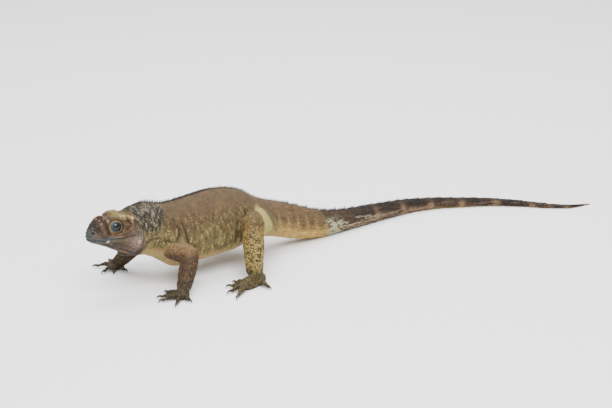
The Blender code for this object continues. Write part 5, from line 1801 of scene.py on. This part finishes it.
class IGUANA_OT_head(Builder, bpy.types.Operator):
    """Lip shields, named plates, lid scales and the plates between them"""
    bl_idname = "iguana.head"
    bl_label = "Head plates"

    def build(self, sizes, colours):
        look = skin_material("head_plates", 0.46, 1100.0, 0.18, 0.16)
        labials = labial_roots(MADE["taken"])
        lay_scales("lip_shields", labials, SHIELD, colours, 31, look, "head_skin", 0.06)
        mosaic("head_scales", head_roots(sizes, MADE["taken"]), colours, 32, look, "head_skin")


class IGUANA_OT_neck(Builder, bpy.types.Operator):
    """Tubercles of the neck and the granules between them"""
    bl_idname = "iguana.neck"
    bl_label = "Neck scales"

    def build(self, sizes, colours):
        skin, taken = MADE["skin"], MADE["taken"]
        x, _, z = (skin.middles + ORIGIN).T
        _, _, out = LINE.coords(skin.middles)
        zone = (x > -0.1560) & (x < -0.1080) & (z > 0.030) & (out < 1.10)
        look = skin_material("neck_scales", 0.58, 900.0, 0.25)
        cones = fill_roots(zone & (z > 0.070), *TUBERCLE, taken, 41)
        lay_scales("neck_tubercles", cones, CONE, colours, 42, look, "neck_skin", 0.5)
        small = fill_roots(zone, *NECK_GRANULE, taken, 43)
        lay_scales("neck_granules", small, DISC, colours, 44, look, "neck_skin", 0.3)


class IGUANA_OT_body(Builder, bpy.types.Operator):
    """Rows of small scales round the trunk"""
    bl_idname = "iguana.body"
    bl_label = "Body scales"

    def build(self, sizes, colours):
        look = skin_material("body_scales", 0.55, 1000.0, 0.22)
        wide = sizes.body_scale
        for part, start, end, seed in (("fore", -0.1075, -0.0060, 51), ("rear", -0.0060, 0.1085, 52)):
            roots = row_roots(LINE.distance(start), LINE.distance(end), lambda at: wide * 0.92,
                              lambda at: wide, lambda at: BODY_SCALE_HEIGHT, MADE["taken"])
            lay_scales("body_scales_" + part, roots, DISC, colours, seed, look, "body_skin")


class IGUANA_OT_tail(Builder, bpy.types.Operator):
    """Keeled scales in whorls down the tail"""
    bl_idname = "iguana.tail"
    bl_label = "Tail scales"

    def build(self, sizes, colours):
        look = skin_material("tail_scales", 0.50, 900.0, 0.22)

        def share(at):
            return float(np.clip((at - LINE.whorls) / (LINE.length - LINE.whorls), 0, 1))

        def height(at):
            last = ((at - LINE.whorls) / WHORL_STEP) % 1.0 > 0.72
            return (0.00075 - 0.00045 * share(at)) * (1.55 if last else 1.0)

        roots = row_roots(LINE.whorls, LINE.length - 0.002, lambda at: WHORL_STEP / 5,
                          lambda at: sizes.tail_scale * (1 - 0.55 * share(at)), height, MADE["taken"], 1.12)
        lay_scales("tail_whorls", roots, KEEL, colours, 61, look, "tail_skin", 0.10)


class IGUANA_OT_limbs(Builder, bpy.types.Operator):
    """Scales of the arms and legs, and of the hands, feet and toes"""
    bl_idname = "iguana.limbs"
    bl_label = "Limb scales"

    def build(self, sizes, colours):
        taken, wide = MADE["taken"], sizes.limb_scale
        look = skin_material("limb_scales", 0.52, 1000.0, 0.22)
        for kind, slot, seed in (("arm", "arm_skin", 71), ("leg", "leg_skin", 73)):
            limb_roots, toe_roots = Roots(), Roots()
            for limb in PLAN:
                if limb["kind"] != kind:
                    continue
                for toe in limb["toes"]:
                    run_roots(toe_roots, toe["path"], toe["radii"], *TOE_SCALE, taken, 1.5, 0.55)
                for path, radii in limb["flesh"]:
                    run_roots(limb_roots, path, radii, wide, wide * 1.04, LIMB_SCALE_HEIGHT, taken)
                for path, radii in limb["runs"]:
                    run_roots(toe_roots, path, radii, wide * 0.9, wide * 0.92, FOOT_SCALE_HEIGHT, taken)
            lay_scales(kind + "_scales", limb_roots, DISC, colours, seed, look, slot)
            lay_scales(kind + "_toe_scales", toe_roots, DISC, colours, seed + 1, look, "foot_skin")


class IGUANA_OT_fill(Builder, bpy.types.Operator):
    """Granules where the rows leave the skin bare: armpits, groins, hands, feet and round the vent"""
    bl_idname = "iguana.fill"
    bl_label = "Granules"

    def build(self, sizes, colours):
        x, _, z = (MADE["skin"].middles + ORIGIN).T
        zone = (x > -0.165) & (x < 0.112) & (z > ROOT_FLOOR) & ~((x < -0.143) & (z > 0.045))
        roots = fill_roots(zone, *GRANULE, MADE["taken"], 81)
        look = skin_material("granules", 0.56, 1000.0, 0.22)
        lay_scales("granules", roots, DISC, colours, 82, look, "body_skin", 0.3)


class IGUANA_OT_crest(Builder, bpy.types.Operator):
    """Spines along the middle of the neck, back and tail"""
    bl_idname = "iguana.crest"
    bl_label = "Crest"

    def build(self, sizes, colours):
        look = horn_material("crest_horn", 0.42)
        lay_scales("crest", crest_roots(sizes), SPINE, colours, 91, look, "tail_skin", 0.22)


class IGUANA_OT_claws(Builder, bpy.types.Operator):
    """Claws of all twenty toes"""
    bl_idname = "iguana.claws"
    bl_label = "Claws"

    def build(self, sizes, colours):
        make_claws(colours)


def aim(name, data, place, look):
    """A lamp or camera at this place, turned to look this way."""
    obj = link(name, data, smooth=False)
    obj.location = place
    obj.rotation_euler = look.to_track_quat("-Z", "Y").to_euler()
    return obj


class IGUANA_OT_stage(Builder, bpy.types.Operator):
    """Plain pale floor, soft lights and the photograph's camera"""
    bl_idname = "iguana.stage"
    bl_label = "Stage"

    def build(self, sizes, colours):
        half = 4.0
        corners = [(-half, -half, 0), (half, -half, 0), (half, half, 0), (-half, half, 0)]
        mesh = bpy.data.meshes.new("floor")
        mesh.from_pydata(corners, [], [(0, 1, 2, 3)])
        made, _, shader = node_tree("floor_paper")
        shader.inputs["Base Color"].default_value = (*colours.floor[:3], 1.0)
        shader.inputs["Roughness"].default_value = 0.85
        shader.inputs["Specular IOR Level"].default_value = 0.2
        link("floor", mesh, made, smooth=False)
        world = bpy.data.worlds.new("studio")
        world.use_nodes = True
        sky = world.node_tree.nodes["Background"]
        sky.inputs["Color"].default_value = (1.0, 1.0, 1.0, 1.0)
        sky.inputs["Strength"].default_value = SKY_STRENGTH
        bpy.context.scene.world = world
        for name, place, size, power in LAMPS:
            light = bpy.data.lights.new(name, "AREA")
            light.size, light.energy = size, power
            aim(name, light, place, -Vector(place))
        camera = bpy.data.cameras.new("camera")
        camera.sensor_width = SENSOR
        camera.lens = FOCAL_PIXELS * SENSOR / PICTURE_WIDTH
        camera.clip_end = 30.0
        bpy.context.scene.camera = aim("camera", camera, CAMERA_AT, Vector(CAMERA_LOOKS))


OPERATORS = (IGUANA_OT_skin, IGUANA_OT_eyes, IGUANA_OT_head, IGUANA_OT_neck, IGUANA_OT_body, IGUANA_OT_tail,
             IGUANA_OT_limbs, IGUANA_OT_fill, IGUANA_OT_crest, IGUANA_OT_claws, IGUANA_OT_stage)


class IGUANA_PT_panel(bpy.types.Panel):
    """Lists the pieces and their sizes and colours"""
    bl_label = "Rhinoceros iguana"
    bl_idname = "IGUANA_PT_panel"
    bl_space_type = "VIEW_3D"
    bl_region_type = "UI"
    bl_category = "Iguana"

    def draw(self, context):
        column = self.layout.column()
        for group in (context.scene.iguana_sizes, context.scene.iguana_colours):
            for name in group.__annotations__:
                column.prop(group, name)
        for operator in OPERATORS:
            column.operator(operator.bl_idname)


CLASSES = (IguanaSizes, IguanaColours, *OPERATORS, IGUANA_PT_panel)


def register():
    for one in CLASSES:
        bpy.utils.register_class(one)
    bpy.types.Scene.iguana_sizes = PointerProperty(type=IguanaSizes)
    bpy.types.Scene.iguana_colours = PointerProperty(type=IguanaColours)


def unregister():
    del bpy.types.Scene.iguana_colours
    del bpy.types.Scene.iguana_sizes
    for one in reversed(CLASSES):
        bpy.utils.unregister_class(one)


def main():
    register()
    bpy.ops.iguana.skin()
    bpy.ops.iguana.eyes()
    bpy.ops.iguana.head()
    bpy.ops.iguana.neck()
    bpy.ops.iguana.body()
    bpy.ops.iguana.tail()
    bpy.ops.iguana.limbs()
    bpy.ops.iguana.fill()
    bpy.ops.iguana.crest()
    bpy.ops.iguana.claws()
    bpy.ops.iguana.stage()


if __name__ == "__main__":
    main()
